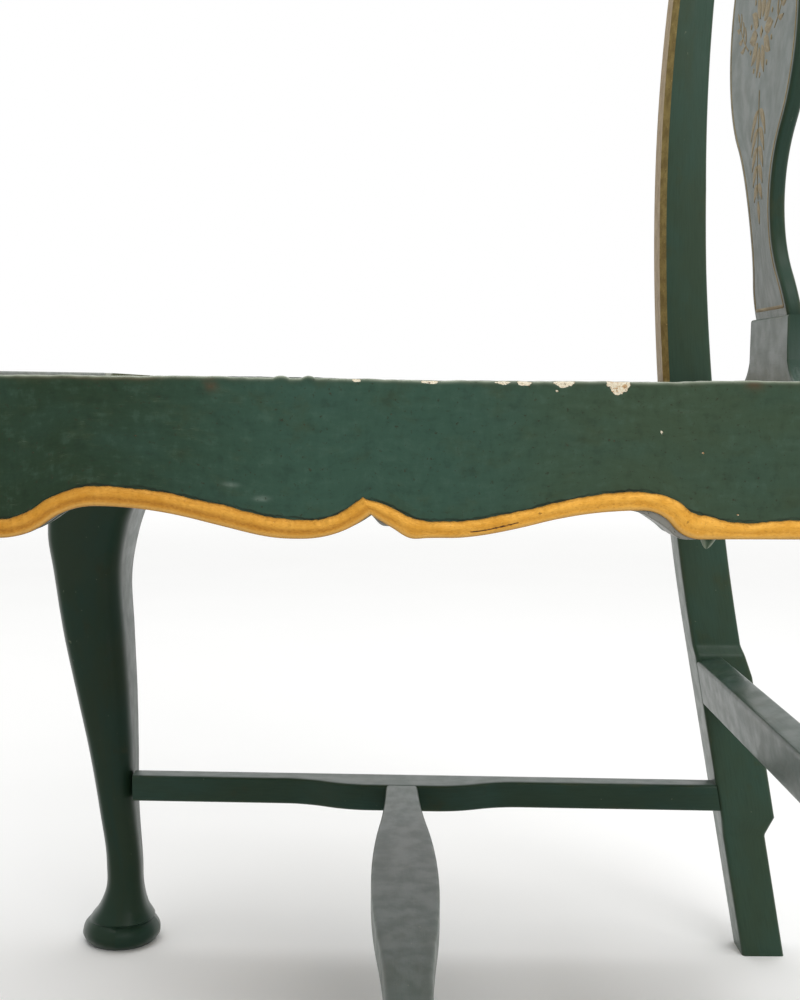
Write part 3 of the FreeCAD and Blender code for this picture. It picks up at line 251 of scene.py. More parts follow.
def make_piece(name, shells, body, finishes, nodes=(), crease=40):
    """Joins shells into one object that rides on a body and stands for the nodes."""
    points, faces, uvs, paints, marks = [], [], [], [], {}
    count = 0
    keys = sorted({key for one in shells for key in one["marks"]})
    for one in shells:
        made, uv, paint = skin(one, count)
        size = one["grid"].shape[0] * one["grid"].shape[1]
        points.append(one["grid"].reshape(-1, 3) * MM)
        faces += made
        uvs.append(uv)
        paints.append(paint)
        for key in keys:
            given = np.asarray(one["marks"].get(key, 0.0), float)
            full = np.broadcast_to(given, one["grid"].shape[:2]).reshape(-1)
            marks.setdefault(key, []).append(full)
        count += size
    name = name.replace(" ", "_")
    mesh = bpy.data.meshes.new(name)
    mesh.from_pydata(np.concatenate(points).tolist(), [], faces)
    layer = mesh.uv_layers.new(name="grain")
    layer.data.foreach_set("uv", np.concatenate(uvs).astype(np.float32).ravel())
    for key in keys:
        held = mesh.attributes.new(key, "FLOAT", "POINT")
        held.data.foreach_set("value", np.concatenate(marks[key]).astype(np.float32))
    for finish in finishes:
        mesh.materials.append(finish)
    mesh.polygons.foreach_set("material_index", np.concatenate(paints).astype(np.int32))
    mesh.polygons.foreach_set("use_smooth", np.ones(len(faces), bool))
    mesh.update()
    mesh.set_sharp_from_angle(angle=math.radians(crease))
    made = bpy.data.objects.new(name, mesh)
    bpy.context.scene.collection.objects.link(made)
    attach(made, body)
    if nodes:
        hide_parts(*nodes)
    print(name, len(mesh.vertices), "points,", len(faces), "faces")
    return made


# %% [markdown]
# ## A bar with soft arrises
# Rails, posts, stretchers and the splat are all boards: two edge lines with a thickness between
# their faces. A plane and a scraper, and then many years of hands, leave every arris slightly
# round. So the section is a rectangle with quarter circles at its corners. The wear mark is 1
# on an arris and fades away from it, and the paint uses it to rub through.

# %% Bars
close_in = 2.5
far_in = 8.0
room_share = 0.4
wear_width = 5.0


def section_spots(rows, steps=4):
    """The section's points, each as shares of the half height and half depth, a distance back
    from the corner, and a direction on the corner's circle. They go up the outer face, over
    the top, down the inner face and back along the bottom."""
    near = [(-1, 0), (-1, close_in), (-1, far_in), (0, 0), (1, far_in), (1, close_in), (1, 0)]
    outer = [(p, 0) for p in np.linspace(-1, 1, rows)] if rows else near
    turn = [(math.sin(t), math.cos(t)) for t in np.linspace(0, math.pi / 2, steps + 2)[1:-1]]
    spots = [(p, back, 0, 1, 0, 1, 0) for p, back in outer]
    spots += [(1, 0, sine, 1, 0, cosine, 1) for sine, cosine in turn]
    spots += [(1, 0, 1, p, back, 0, 0) for p, back in near[::-1]]
    spots += [(1, 0, cosine, -1, 0, -sine, 1) for sine, cosine in turn]
    spots += [(p, back, 0, -1, 0, -1, 0) for p, back in near[::-1]]
    spots += [(-1, 0, -sine, -1, 0, -cosine, -1) for sine, cosine in turn]
    spots += [(-1, 0, -1, p, back, 0, 0) for p, back in near]
    spots += [(-1, 0, -cosine, 1, 0, sine, -1) for sine, cosine in turn]
    return np.array(spots).T


def bar(low, high, across, thick, bend, bend_low=None, flatten=0.0, rows=0):
    """Points round a board at each station, and how near each lies to an arris.

    The section's middle is the mean of the low and high lines, its height runs from one to
    the other and its depth is `thick` along `across`. A point is the middle plus its share of
    the height, less the corner radius, plus the corner's circle, and the same across the
    depth. `flatten` draws the low corners' arcs onto their chords, which makes a chamfer."""
    n = len(low)
    pa, back_a, ca, pb, back_b, cb, corner = section_spots(rows)
    up = unit(high - low + np.array([0, 0, 1e-9]))
    half_a = np.linalg.norm(high - low, axis=1)[:, None] / 2
    half_b = np.broadcast_to(thick, n)[:, None] / 2
    limit = np.minimum(half_a, half_b) * 0.95
    bend_high = np.minimum(np.broadcast_to(bend, n)[:, None], limit)
    given = bend if bend_low is None else bend_low
    bend_low = np.minimum(np.broadcast_to(given, n)[:, None], limit)
    radius = np.where(pa + corner * 9 < 0, bend_low, bend_high)
    start = -half_a + bend_low
    flat = half_a - bend_high - start
    a = start + flat * (pa + 1) / 2 + radius * ca
    a = a - np.sign(pa) * np.minimum(back_a, flat * room_share)
    b = pb * (half_b - radius) + radius * cb
    b = b - np.sign(pb) * np.minimum(back_b, (half_b - radius) * room_share)
    to_chord = 1 / (np.abs(ca) + np.abs(cb)) - 1
    cut = np.broadcast_to(flatten, n)[:, None] * (corner < 0) * radius * to_chord
    a = a + cut * ca
    b = b + cut * cb
    across = unit(np.broadcast_to(across, (n, 3)))
    grid = (low + high)[:, None] / 2 + up[:, None] * a[..., None] + across[:, None] * b[..., None]
    away = np.maximum(half_a - np.abs(a), half_b - np.abs(b))
    return grid, np.exp(-away / wear_width)

# %% [markdown]
# ## Finishes made of nodes
# Paint on old furniture is never one colour. Here it is a mix of a few close greens that a
# slow noise blends, with fine streaks that run along the piece where the brush ran. A small
# recipe class keeps each finish short: it adds nodes, links them and sets the shader's sockets.

# %% A recipe for a finish


def shade(red, green, blue):
    """A colour as read off a screen, made linear: a value over 255, less 0.055 and over
    1.055, all to the power 2.4."""
    part = (np.array([red, green, blue]) / 255 + 0.055) / 1.055
    return (*(part ** 2.4), 1.0)


class Recipe:
    """A finish under way, with its node tree and its shader."""

    def __init__(self, name, where="grain"):
        self.finish = bpy.data.materials.new(name)
        self.finish.use_nodes = True
        self.tree = self.finish.node_tree
        self.shader = self.tree.nodes["Principled BSDF"]
        if where == "grain":
            self.place = self.node("ShaderNodeUVMap", uv_map="grain").outputs["UV"]
        else:
            self.place = self.node("ShaderNodeTexCoord").outputs["Object"]

    def node(self, kind, inputs=None, **settings):
        made = self.tree.nodes.new(kind)
        for key, value in settings.items():
            setattr(made, key, value)
        for key, value in (inputs or {}).items():
            self.feed(made.inputs[key], value)
        return made

    def feed(self, socket, value):
        if isinstance(value, bpy.types.NodeSocket):
            self.tree.links.new(value, socket)
        else:
            socket.default_value = value

    def sum(self, operation, a, b=0.0, clamp=False):
        return self.node("ShaderNodeMath", {0: a, 1: b}, operation=operation,
                         use_clamp=clamp).outputs[0]

    def plus(self, a, b):
        return self.sum("ADD", a, b)

    def times(self, a, b, clamp=False):
        return self.sum("MULTIPLY", a, b, clamp)

    def ragged(self, mark, noise, amount, middle=0.5):
        """A mark from the mesh, plus the noise's swing about its middle times an amount."""
        return self.plus(self.mark(mark), self.times(self.sum("SUBTRACT", noise, middle), amount))

    def step(self, value, start, stop, low=0.0, high=1.0):
        return self.node("ShaderNodeMapRange", {"Value": value, "From Min": start, "From Max": stop,
                                                "To Min": low, "To Max": high},
                         interpolation_type="SMOOTHSTEP").outputs["Result"]

    def mix(self, share, a, b, way="MIX"):
        made = self.node("ShaderNodeMix", data_type="RGBA", blend_type=way)
        for socket, value in zip((made.inputs[0], made.inputs[6], made.inputs[7]), (share, a, b)):
            self.feed(socket, value)
        return made.outputs[2]

    def base(self, share, one, other):
        """The ground coat: two colours blended by a share."""
        self.colour = self.mix(share, shade(*one), shade(*other))

    def coat(self, share, red, green, blue, way="MIX"):
        """Lays a colour over what is there, as thick as the share says."""
        self.colour = self.mix(share, self.colour, shade(red, green, blue), way)

    def noise(self, scale, detail=3.0, rough=0.55, stretch=(1, 1, 1), turn=0.0, bend=0.0):
        at = self.node("ShaderNodeMapping", {"Vector": self.place, "Scale": stretch,
                                             "Rotation": (0, 0, turn)}).outputs[0]
        return self.node("ShaderNodeTexNoise", {"Vector": at, "Scale": scale, "Detail": detail,
                                                "Roughness": rough, "Distortion": bend}
                         ).outputs["Fac"]

    def along(self):
        """Place from the front of the chair to its back, in metres."""
        at = self.node("ShaderNodeTexCoord").outputs["Object"]
        return self.node("ShaderNodeSeparateXYZ", {"Vector": at}).outputs["Y"]

    def mark(self, name):
        return self.node("ShaderNodeAttribute", attribute_name=name).outputs["Fac"]

    def gloss(self, low=0.16, high=1.0):
        """Specular level that is low face on and rises towards a glancing view."""
        facing = self.node("ShaderNodeLayerWeight", {"Blend": 0.5}).outputs["Facing"]
        self.feed(self.shader.inputs["Specular IOR Level"],
                  self.step(facing, 0.25, 0.85, low, high))

    def bump(self, height, distance, strength):
        made = self.node("ShaderNodeBump", {"Height": height, "Distance": distance,
                                            "Strength": strength})
        self.feed(self.shader.inputs["Normal"], made.outputs["Normal"])

    def set(self, **values):
        for key, value in values.items():
            self.feed(self.shader.inputs[key.replace("_", " ")], value)
        return self.finish


print("a mid green made linear:", [round(float(v), 3) for v in shade(52, 74, 62)])

# %% [markdown]
# ## Old green paint
# The chair is painted a deep green that has aged towards teal on the faces and olive near the
# edges. Two noises share out the greens, a stretched one draws the brush, and the wear mark
# from the mesh lets a thin olive edge through. The paint is satin, so its gloss varies a little.
# The front legs have darker greens as painted shade, the back posts lighter ones as painted
# light, and the tops of the front rail and of the leg blocks are painted pale as a sheen of light.

# %% Green paint


def green_paint(name, where="grain", marks=True, base=(45, 64, 50), cool=(44, 68, 58),
                warm=(50, 60, 42)):
    r = Recipe(name, where)
    r.gloss()
    streak = (1, 14, 1) if where == "grain" else (4, 4, 1)
    slow = r.noise(13.0, 3.0, 0.6, (1, 1.6, 1))
    other = r.noise(31.0, 4.0, 0.65, (1, 1.3, 1), turn=0.4)
    brush = r.noise(52.0, 4.0, 0.6, streak)
    fine = r.noise(900.0, 2.0, 0.6)
    r.base(r.step(slow, 0.38, 0.66), base, cool)
    r.coat(r.step(other, 0.56, 0.74, 0.0, 0.6), *warm)
    r.coat(r.step(brush, 0.4, 0.75, 0.0, 0.28), 34, 50, 40)
    if marks:
        wear = r.ragged("wear", other, 0.9)
        r.coat(r.step(wear, 0.62, 1.1, 0.0, 0.55), 74, 80, 58)
    speck = r.step(r.noise(210.0, 2.0, 0.5), 0.735, 0.765, 0.0, 0.5)
    r.coat(speck, 104, 112, 92)
    gloss = r.step(r.noise(70.0, 3.0), 0.3, 0.7, 0.3, 0.42)
    r.bump(r.plus(r.times(brush, 0.5), r.times(fine, 0.2)), 0.0004, 0.3)
    return r.set(Base_Color=r.colour, Roughness=gloss, IOR=1.45)


paint_green = green_paint("old green paint")
# A darker copy of the green for the front legs, as painted shade.
leg_paint_painted_shade = green_paint("old green paint darkened as painted shade on the legs", base=(36, 52, 37), cool=(31, 53, 42),
                          warm=(40, 48, 30))
# A lighter copy of the green for the back posts, as painted light.
post_paint_painted_light = green_paint("old green paint lightened as painted light on the posts", base=(52, 70, 54), cool=(51, 74, 61),
                          warm=(57, 67, 45))
# Pale green for the tops of the front rail and the leg blocks, as a painted sheen of light.
pale_sheen_paint = green_paint("green paint pale as painted sheen", base=(142, 150, 128), cool=(146, 156, 138),
                         warm=(132, 136, 110))
paint_green_solid = green_paint("old green paint on small pieces", where="object", marks=False)
print("green paints:", len(bpy.data.materials))

# %% [markdown]
# ## Gold paint
# The bead under the rails is laid with gold. Its lower lip is painted bright as a highlight and
# the channel above it brown as shade, and on the near bead it is painted darker towards the front
# of the chair, as shade. It is darker in its low places along both edges, and on the near bead
# dirt sits in a crack and two spots. A slightly metallic shader with a rough, bumpy surface and
# small painted glints of light colour gives broken glints rather than a mirror. The same recipe
# with duller colours makes the thin old gold of the stencils and of the back posts' chamfers.

# %% Gold


def gold_paint(name, bright=(221, 164, 66), mid=(208, 149, 50), dark=(150, 98, 28), marks=False):
    r = Recipe(name)
    r.gloss(0.2, 0.8)
    slow = r.noise(90.0, 4.0, 0.65, (1, 2.2, 1))
    fine = r.noise(620.0, 3.0, 0.6, (1, 1.5, 1))
    r.base(r.step(slow, 0.35, 0.65), mid, bright)
    r.coat(r.step(fine, 0.52, 0.74, 0.0, 0.45), *dark)
    # Painted glints: small specks of light colour stand in for glints of light.
    painted_glint = r.step(r.noise(1500.0, 2.0), 0.66, 0.74, 0.0, 0.6)
    r.coat(painted_glint, 246, 206, 130)
    if marks:
        # Painted shade: the near bead's gold is darker towards the front of the chair.
        r.coat(r.step(r.along(), -0.17, 0.10, 0.36, 0.0), 150, 92, 14)
        # Painted shade in the channel, and a painted highlight on the lower lip.
        channel = r.times(r.mark("channel"), r.step(fine, 0.25, 0.6, 0.3, 0.62))
        r.coat(channel, 150, 94, 20)
        r.coat(r.times(r.mark("lip"), 0.6), 218, 174, 100)
        # Darker in the bead's low places, along both edges where it meets the rail.
        hollow = r.times(r.mark("hollow"), r.step(fine, 0.2, 0.7, 0.4, 1.0))
        r.coat(hollow, 92, 56, 20)
        dirt = r.step(r.ragged("dirt", fine, 0.8), 0.35, 0.7)
        r.coat(dirt, 70, 40, 18)
    r.bump(r.plus(slow, r.times(fine, 0.5)), 0.0006, 0.6)
    return r.set(Base_Color=r.colour, Roughness=r.step(slow, 0.3, 0.7, 0.56, 0.42), Metallic=0.25)


gold_bead = gold_paint("gold on the beads", marks=True)
gold_wash = gold_paint("gold rubbed thin over green", bright=(135, 110, 50), mid=(114, 90, 38),
                       dark=(86, 74, 34))
gold_thin = gold_paint("thin old gold", bright=(134, 118, 70), mid=(109, 94, 54),
                       dark=(76, 66, 38))
print("with gold:", len(bpy.data.materials))

# %% [markdown]
# ## Bare wood and rush
# The slip seat's bars and the glue blocks are plain sawn wood, with level rings drawn by a
# stretched noise. A rush strand is leaves twisted by hand. Its colour changes along the leaf
# from straw to green, and slanting ridges go round it, drawn by a wave that mixes both
# directions of its map.

# %% Wood and rush


def bare_wood(name):
    r = Recipe(name, where="object")
    rings = r.noise(26.0, 4.0, 0.6, (1, 1, 6), bend=0.6)
    pores = r.noise(240.0, 3.0, 0.6, (1, 1, 3))
    r.base(r.step(rings, 0.3, 0.7), (176, 140, 98), (140, 104, 66))
    r.coat(r.step(pores, 0.55, 0.75, 0.0, 0.5), 96, 68, 42)
    r.bump(r.plus(rings, pores), 0.0006, 0.4)
    return r.set(Base_Color=r.colour, Roughness=0.72)


def rush_leaf(name):
    r = Recipe(name)
    slow = r.noise(9.0, 3.0, 0.6, (1, 0.4, 1))
    leaf = r.noise(60.0, 3.0, 0.7, (1, 9, 1))
    parts = r.node("ShaderNodeSeparateXYZ", {"Vector": r.place})
    twist = r.plus(r.times(parts.outputs["X"], 420.0), r.times(parts.outputs["Y"], 660.0))
    ridge = r.times(r.plus(r.sum("SINE", twist), 1.0), 0.5)
    r.base(r.step(slow, 0.36, 0.66), (186, 152, 96), (142, 122, 74))
    r.coat(r.step(leaf, 0.5, 0.75, 0.0, 0.6), 206, 178, 124)
    # Painted shade: the grooves of the twist are darker.
    r.coat(r.step(ridge, 0.3, 0.0, 0.0, 0.6), 88, 66, 38)
    r.bump(r.plus(ridge, r.times(leaf, 0.5)), 0.0011, 0.8)
    return r.set(Base_Color=r.colour, Roughness=0.62)


wood = bare_wood("plain sawn wood")
rush = rush_leaf("twisted rush")
print("finishes:", len(bpy.data.materials))

# %% [markdown]
# ## The scalloped edge
# The lower edge of each seat rail is sawn to a pattern: a cusp in the middle between two lobes,
# a swing up to a hump on each side, and a short swing down to a step. The near rail was sawn
# by hand, so its two humps differ by a millimetre.

# %% The scallop as a function
lobe_reach = 29.0
cusp_rise = 9.5
hump_reach = 120.0
step_reach = 147.0
pattern_hump = (hump_reach, 13.5, step_reach)
own_humps = {"left": (119.0, 14.3, 160.0), "right": (hump_reach, 13.3, step_reach)}
lobe_radius = arc_radius(lobe_reach, cusp_rise)


def scallop(s, left=pattern_hump, right=pattern_hump):
    """Height of the scalloped edge at a distance from the cusp: an arc of the lobe next to the
    cusp, then one swing up to the hump and one down to the step, then level."""
    away = np.abs(s)
    reach, rise, step = (np.where(s < 0, a, b) for a, b in zip(left, right))
    lobe = lobe_radius - np.sqrt(lobe_radius ** 2 - np.clip(lobe_reach - away, 0, None) ** 2)
    up = swing(np.clip(away, lobe_reach, reach), lobe_reach, 0.0, reach, rise)
    down = swing(np.clip(away, reach, step), reach, rise, step, 0.0)
    return rail_low + np.select([away < lobe_reach, away < reach, away < step],
                                [lobe, up, down], 0.0)


def hump(s, start, stop):
    """A smooth swelling between two places: a sine squared."""
    t = np.clip((s - start) / (stop - start), 0, 1)
    return np.sin(math.pi * t) ** 2


def stations(start, stop, step):
    """Evenly spaced places that always include 0, where the cusp is."""
    before = np.linspace(start, 0, round(-start / step) + 1)
    after = np.linspace(0, stop, round(stop / step) + 1)
    return np.concatenate([before, after[1:]])


print("lobe radius", round(lobe_radius, 1), "mm")

# %% [markdown]
# ## The near rail's wear
# The near rail shows what hands and knocks have done: chips along its top arris, pits, two
# small bumps, smudges, and edges that wander a little. Short tables say where each lies
# along the rail and how big it is, and a smooth line through a table's values gives the rest.

# %% The near rail's wear
# Where each chip starts and stops along the rail, from the cusp, and how far down it reaches.
CHIPS = ((-9.0, -3.6, 1.5), (20.0, 31.5, 1.5), (34.5, 36.5, 0.8), (52.5, 62.4, 1.5),
         (62.6, 70.4, 2.0), (79.0, 89.2, 2.9), (96.0, 97.6, 0.8), (102.6, 113.8, 6.2))
# Each pit's place along the rail and below its top, and its radius.
PITS = ((81.1, 4.2, 0.6), (128.0, 22.0, 0.5), (146.8, 31.5, 0.5), (163.3, 59.3, 0.6))
# Where each bump starts and stops.
BUMPS = ((-43.0, -36.0), (-30.8, -24.8))
# Each smudge's and reddish spot's place along and down, and its two sizes.
SMUDGES = ((-60.5, 46.6, 3.0, 0.9), (-47.5, 52.6, 3.0, 1.1), (127.0, 61.5, 10.0, 3.0),
           (5.0, 66.5, 4.0, 2.0))
RUST = ((-69.5, 3.6, 3.0, 3.2), (-110.0, 0.6, 38.0, 1.0), (169.0, 1.5, 4.0, 2.5))
# How far the bead's lower line hangs below the pattern.
HANG = ((-170, 0.5), (-83, 0.5), (-65, -0.3), (-40, 0.9), (-25, 0.7), (-12, 0.3), (0, -0.4),
        (9, 0.0), (17, 1.9), (25, 0.6), (40, 0.6), (65, 0.2), (90, 1.0), (112, 1.4),
        (150, 0.9), (190, 0.9))
# How far the bead's upper line stands above the pattern.
LIFT = ((-170, 0.0), (-90, 0.3), (-76, 0.6), (-65, 1.9), (-56, 1.2), (-37, 0.2), (-28, -0.4),
        (-10, 0.0), (-1, -0.2), (8, 0.8), (17, -0.3), (34, -0.9), (56, -0.5), (78, -0.95),
        (95, -1.1), (104, -0.6), (112, -0.5), (125, -0.95), (133, 0.2), (140, 2.3),
        (148, 2.1), (156, 0.0), (190, 0.0))
# How far the rail's top arris is worn down.
SAG = ((-170, 0.0), (-50, 0.1), (-19, 0.5), (8, 0.5), (26, 0.95), (45, 0.95), (78, 0.75),
       (121, 0.85), (156, 0.2), (190, 0.0))
chip_reach = 9.0
chip_push = np.array([0.55, 0, 0.35])
drip_at = 151.0
drip_long = 6.4
drip_half = 4.2


def by_hand(s, places):
    """The smooth line through a table of places and distances."""
    return through(s, *np.array(places, float).T)


def blots(along, down, places):
    """Soft spots: e to the power of minus the squared shares of each spot's two sizes."""
    return sum(np.exp(-((along - s0) / length) ** 2 - ((down - down0) / tall) ** 2)
               for s0, down0, length, tall in places)


def chip_depth(s, down):
    """How deep the paint is gone at a place along the rail and below its top arris: one minus
    the squares of the shares from each chip's middle, made ragged by ripples."""
    deep = np.zeros(np.broadcast(s, down).shape)
    for i, (start, stop, size) in enumerate(CHIPS):
        middle = (start + stop) / 2
        half = (stop - start) / 2
        wobble = 0.12 * ripple(s, 40 + i, 5, 5.0) + 0.06 * ripple(down, 70 + i, 4, 3.0)
        inside = 1 - ((s - middle) / half) ** 2 - (down / size) ** 2 + wobble
        deep = np.maximum(deep, np.clip(inside * 2.2, 0, 1))
    for s0, down0, size in PITS:
        inside = 1 - ((s - s0) ** 2 + (down - down0) ** 2) / size ** 2
        deep = np.maximum(deep, np.clip(inside * 2, 0, 1))
    return deep


def worn_face(outer, s, top):
    """The outer bar with its chips sunk into it, and the marks that its paint reads."""
    edge_z = scallop(s, **own_humps)
    along = outer[..., 1] - cusp_y
    back = np.clip(rail_outer(outer[..., 1]) - outer[..., 0], 0, None)
    down = np.clip(top[:, None] - outer[..., 2], 0, None)
    chip = chip_depth(along, down + back) * (back < chip_reach)
    outer = outer - chip[..., None] * chip_push
    shallow = 0.12 * ripple(along, 11, 6, 90.0) * ripple(down, 12, 4, 40.0)
    outer[..., 0] += np.clip(shallow, -0.3, 0.1) * (back < 1)
    bead_top = edge_z + by_hand(s, LIFT) + 8.3 + 0.3 * ripple(s, 21, 8, 22.0)
    edge = np.exp(-((outer[..., 2] - bead_top[:, None]) / 0.6) ** 2)
    # Painted light: where the rail hangs below the bead, its edge is marked to be painted grey.
    bare = (edge_z - by_hand(s, HANG))[:, None] - outer[..., 2] > 0.1
    # Painted highlight: the top arris is marked to be painted pale.
    arris = 0.65 * np.clip((0.7 - down) / 0.3, 0, 1) + 0.3 * np.clip((1.6 - down) / 0.9, 0, 1)
    return outer, {"chip": chip, "edge": edge, "bare": bare, "arris": arris,
                   "pale": blots(along, down, SMUDGES), "rust": blots(along, down, RUST)}


def drip():
    """An old drip under the rail: rings whose half width is the root of one less the
    square of the share fallen, and narrower still towards the tip."""
    turn = np.linspace(0, 2 * math.pi, 21)[:-1]
    fallen = np.linspace(0.03, 1, 12)[:, None]
    wide = drip_half * np.sqrt(np.clip(1 - fallen ** 2, 0.001, 1)) * (1 - 0.45 * fallen)
    y = cusp_y + drip_at
    rings = xyz(rail_outer(y) - 3.2 + 0.6 * wide * np.cos(turn),
                y - fallen + wide * np.sin(turn), rail_low + 0.8 - drip_long * fallen)
    # Painted highlight: the drip's sides are marked to be painted pale.
    rim = np.clip(np.abs(np.sin(turn)) * 1.6 - 0.7 + 0.6 * fallen, 0, 0.7)
    return shell(rings, arris=rim)


print("chips:", len(CHIPS), "pits:", len(PITS))

# %% [markdown]
# ## The side rails
# Each rail is a board with a rebate inside its top edge, in which the slip seat lies. It is made
# of two bars: an outer one of the full depth, and an inner one that ends at the rebate. The near
# rail's outer face gets a fine mesh, because its chips and dents are real hollows in the mesh.
# Its lower edge hangs below the bead beside the cusp and at the rear hump, and the far rail's
# top is worn down, so that it stays hidden behind the near one.

# %% Side rails
shoulder_run = 40.0
overlap = 0.2


def side_slab(s, low_z, high_z, depth_in, thick, side, bend, rows=0):
    """A bar along one side rail, `depth_in` behind its outer face, whose rear end follows the
    post's front face."""
    lean_in = smoothly(s, s[-1] - shoulder_run, s[-1])
    low_y = cusp_y + s
    high_y = low_y + lean_in * (post_front(high_z) - post_front(low_z))
    low = xyz(rail_outer(low_y) - depth_in - thick / 2, low_y, low_z)
    high = xyz(rail_outer(high_y) - depth_in - thick / 2, high_y, high_z)
    grid, wear = bar(low, high, [1.0, side_slope, 0.0], thick, bend, bend_low=1.2, rows=rows)
    return grid * [side, 1, 1], wear


def side_rail(name, word, side, near):
    s = stations(block_rear - cusp_y, post_front(rail_low) - cusp_y, 0.5 if near else 1.6)
    low_z = scallop(s, **(own_humps if near else {}))
    top = rail_top + 0.15 * ripple(s, 5 + side)
    if near:
        low_z = low_z - np.clip(by_hand(s, HANG), 0, None)
        low_z = low_z - 1.5 * hump(s, -0.6, 9.0) - 4.4 * hump(s, 113.0, 147.0)
        top = top - by_hand(s, SAG)
        for start, stop in BUMPS:
            top = top + 0.9 * hump(s, start, stop) ** 0.4
    else:
        top = top - 1.6 * smoothly(s, -70, 10)
    outer, wear = side_slab(s, low_z, top, 0.0, seat_lip, side, 1.4, rows=104 if near else 14)
    inner, inner_wear = side_slab(s, low_z, np.full(len(s), ledge), seat_lip - overlap,
                                  rail_thick - seat_lip + overlap, side, 0.8)
    marks = {}
    if near:
        outer, marks = worn_face(outer, s, top)
    shells = [shell(outer, wear=wear, **marks), shell(inner, wear=inner_wear)]
    if near:
        shells.append(drip())
    make_piece(name, shells, "body", [rail_paint if near else paint_green],
               ["side_rail_" + word])


# %% [markdown]
# ## The paint of the near rail
# The near rail is seen from close by, so it gets a finish of its own. Its green is painted
# darker towards the front of the chair, as shade. Its marks come from the mesh: where a chip is,
# cream ground and bare wood show through, a ragged dark line runs along the bead's upper edge,
# the top arris and the sides of the drip are painted pale as a highlight, the rail's edge where it
# hangs below the bead is painted grey as light from below, and a few pale smudges and reddish
# spots sit in the paint.

# %% Near rail's paint


def near_rail_paint():
    r = Recipe("old green paint of the near rail")
    r.gloss()
    slow = r.noise(15.0, 3.0, 0.6, (1, 1.5, 1))
    cloud = r.noise(48.0, 5.0, 0.68, (1, 1.4, 1), turn=0.3)
    brush = r.noise(90.0, 5.0, 0.65, (1, 2.2, 1))
    cross = r.noise(90.0, 4.0, 0.65, (2.2, 1, 1))
    fine = r.noise(700.0, 3.0, 0.65)
    spot = r.noise(1900.0, 2.0, 0.6)
    along = r.along()
    # Painted shade: the green is darker towards the front of the chair.
    r.base(r.step(along, -0.17, -0.05), (31, 49, 32), (46, 72, 59))
    r.coat(r.step(along, -0.01, 0.09), 52, 69, 51)
    r.coat(r.step(slow, 0.42, 0.68, 0.0, 0.35), 46, 72, 62)
    r.coat(r.step(cloud, 0.5, 0.74, 0.0, 0.5), 50, 62, 42)
    both = r.times(r.plus(brush, cross), 0.5)
    r.coat(r.step(both, 0.36, 0.50, 0.45, 0.0), 200, 200, 200, "MULTIPLY")
    r.coat(r.step(both, 0.50, 0.66, 0.0, 0.22), 74, 98, 84)
    scratch = r.noise(34.0, 2.0, 0.5, (1, 26, 1), turn=-0.5, bend=0.4)
    scratch = r.step(r.sum("ABSOLUTE", r.sum("SUBTRACT", scratch, 0.56)), 0.0, 0.006, 1.0, 0.0)
    scratch = r.times(scratch, r.step(cloud, 0.5, 0.62))
    scratch = r.times(scratch, r.step(along, -0.12, -0.03, 0.45, 0.0))
    r.coat(scratch, 96, 110, 92)
    r.coat(r.step(fine, 0.6, 0.8, 0.0, 0.3), 70, 86, 64)
    wear = r.step(r.ragged("wear", cloud, 0.8), 0.4, 1.0, 0.0, 0.4)
    r.coat(wear, 56, 62, 42)
    rust = r.times(r.mark("rust"), r.step(cloud, 0.35, 0.6, 0.3, 1.0))
    r.coat(r.times(rust, 0.55, clamp=True), 84, 56, 36)
    # A ragged dark line along the bead's upper edge.
    bead_edge_dark = r.times(r.mark("edge"), r.step(cloud, 0.3, 0.6, 0.45, 1.0))
    r.coat(r.step(bead_edge_dark, 0.25, 0.9, 0.0, 0.8), 24, 30, 20)
    haze = r.times(r.mark("pale"), r.step(brush, 0.3, 0.6, 0.35, 1.0))
    r.coat(r.times(haze, 0.5, clamp=True), 130, 144, 134)
    # Painted highlight: the top arris and the drip's sides are painted pale.
    arris = r.times(r.mark("arris"), r.step(brush, 0.25, 0.6, 0.55, 0.95))
    r.coat(arris, 142, 150, 132)
    # Painted light: the rail's edge below the bead is painted grey, as if lit from below.
    r.coat(r.times(r.mark("bare"), 0.9), 128, 126, 120)
    torn = r.plus(fine, r.noise(330.0, 3.0, 0.6))
    chip = r.ragged("chip", torn, 1.1, middle=1.0)
    ground = r.mix(r.step(spot, 0.4, 0.6), shade(222, 216, 198), shade(200, 184, 152))
    brown = r.step(r.noise(520.0, 2.0), 0.52, 0.62, 0.0, 0.8)
    ground = r.mix(r.times(brown, r.step(along, 0.062, 0.068)), ground, shade(168, 124, 70))
    ground = r.mix(r.step(fine, 0.58, 0.66), ground, shade(92, 78, 58))
    r.coat(r.step(chip, 0.18, 0.34, 0.0, 0.85), 40, 42, 28)
    r.colour = r.mix(r.step(chip, 0.36, 0.46), r.colour, ground)
    r.bump(r.plus(both, r.times(fine, 0.25)), 0.0003, 0.3)
    gloss = r.step(cloud, 0.3, 0.7, 0.34, 0.5)
    return r.set(Base_Color=r.colour, Roughness=gloss, IOR=1.45)


rail_paint = near_rail_paint()
side_rail("near side rail", "left", 1, near=True)
side_rail("far side rail", "right", -1, near=False)

# %% [markdown]
# ## The gold bead
# A bead is a half-round strip glued along the scalloped edge. It keeps its width square to the
# edge, so its upper line is the edge moved along its normal, and at the cusp the two halves
# meet in a mitre. Its profile is nearly half an ellipse, with a shallow channel above its lower
# lip. The near bead's two lines wander by the tables of the near rail.

# %% Beads
bead_width = 7.6
bead_stand = 2.3
channel_share = 0.38
crack_start = 42.0
crack_stop = 67.5


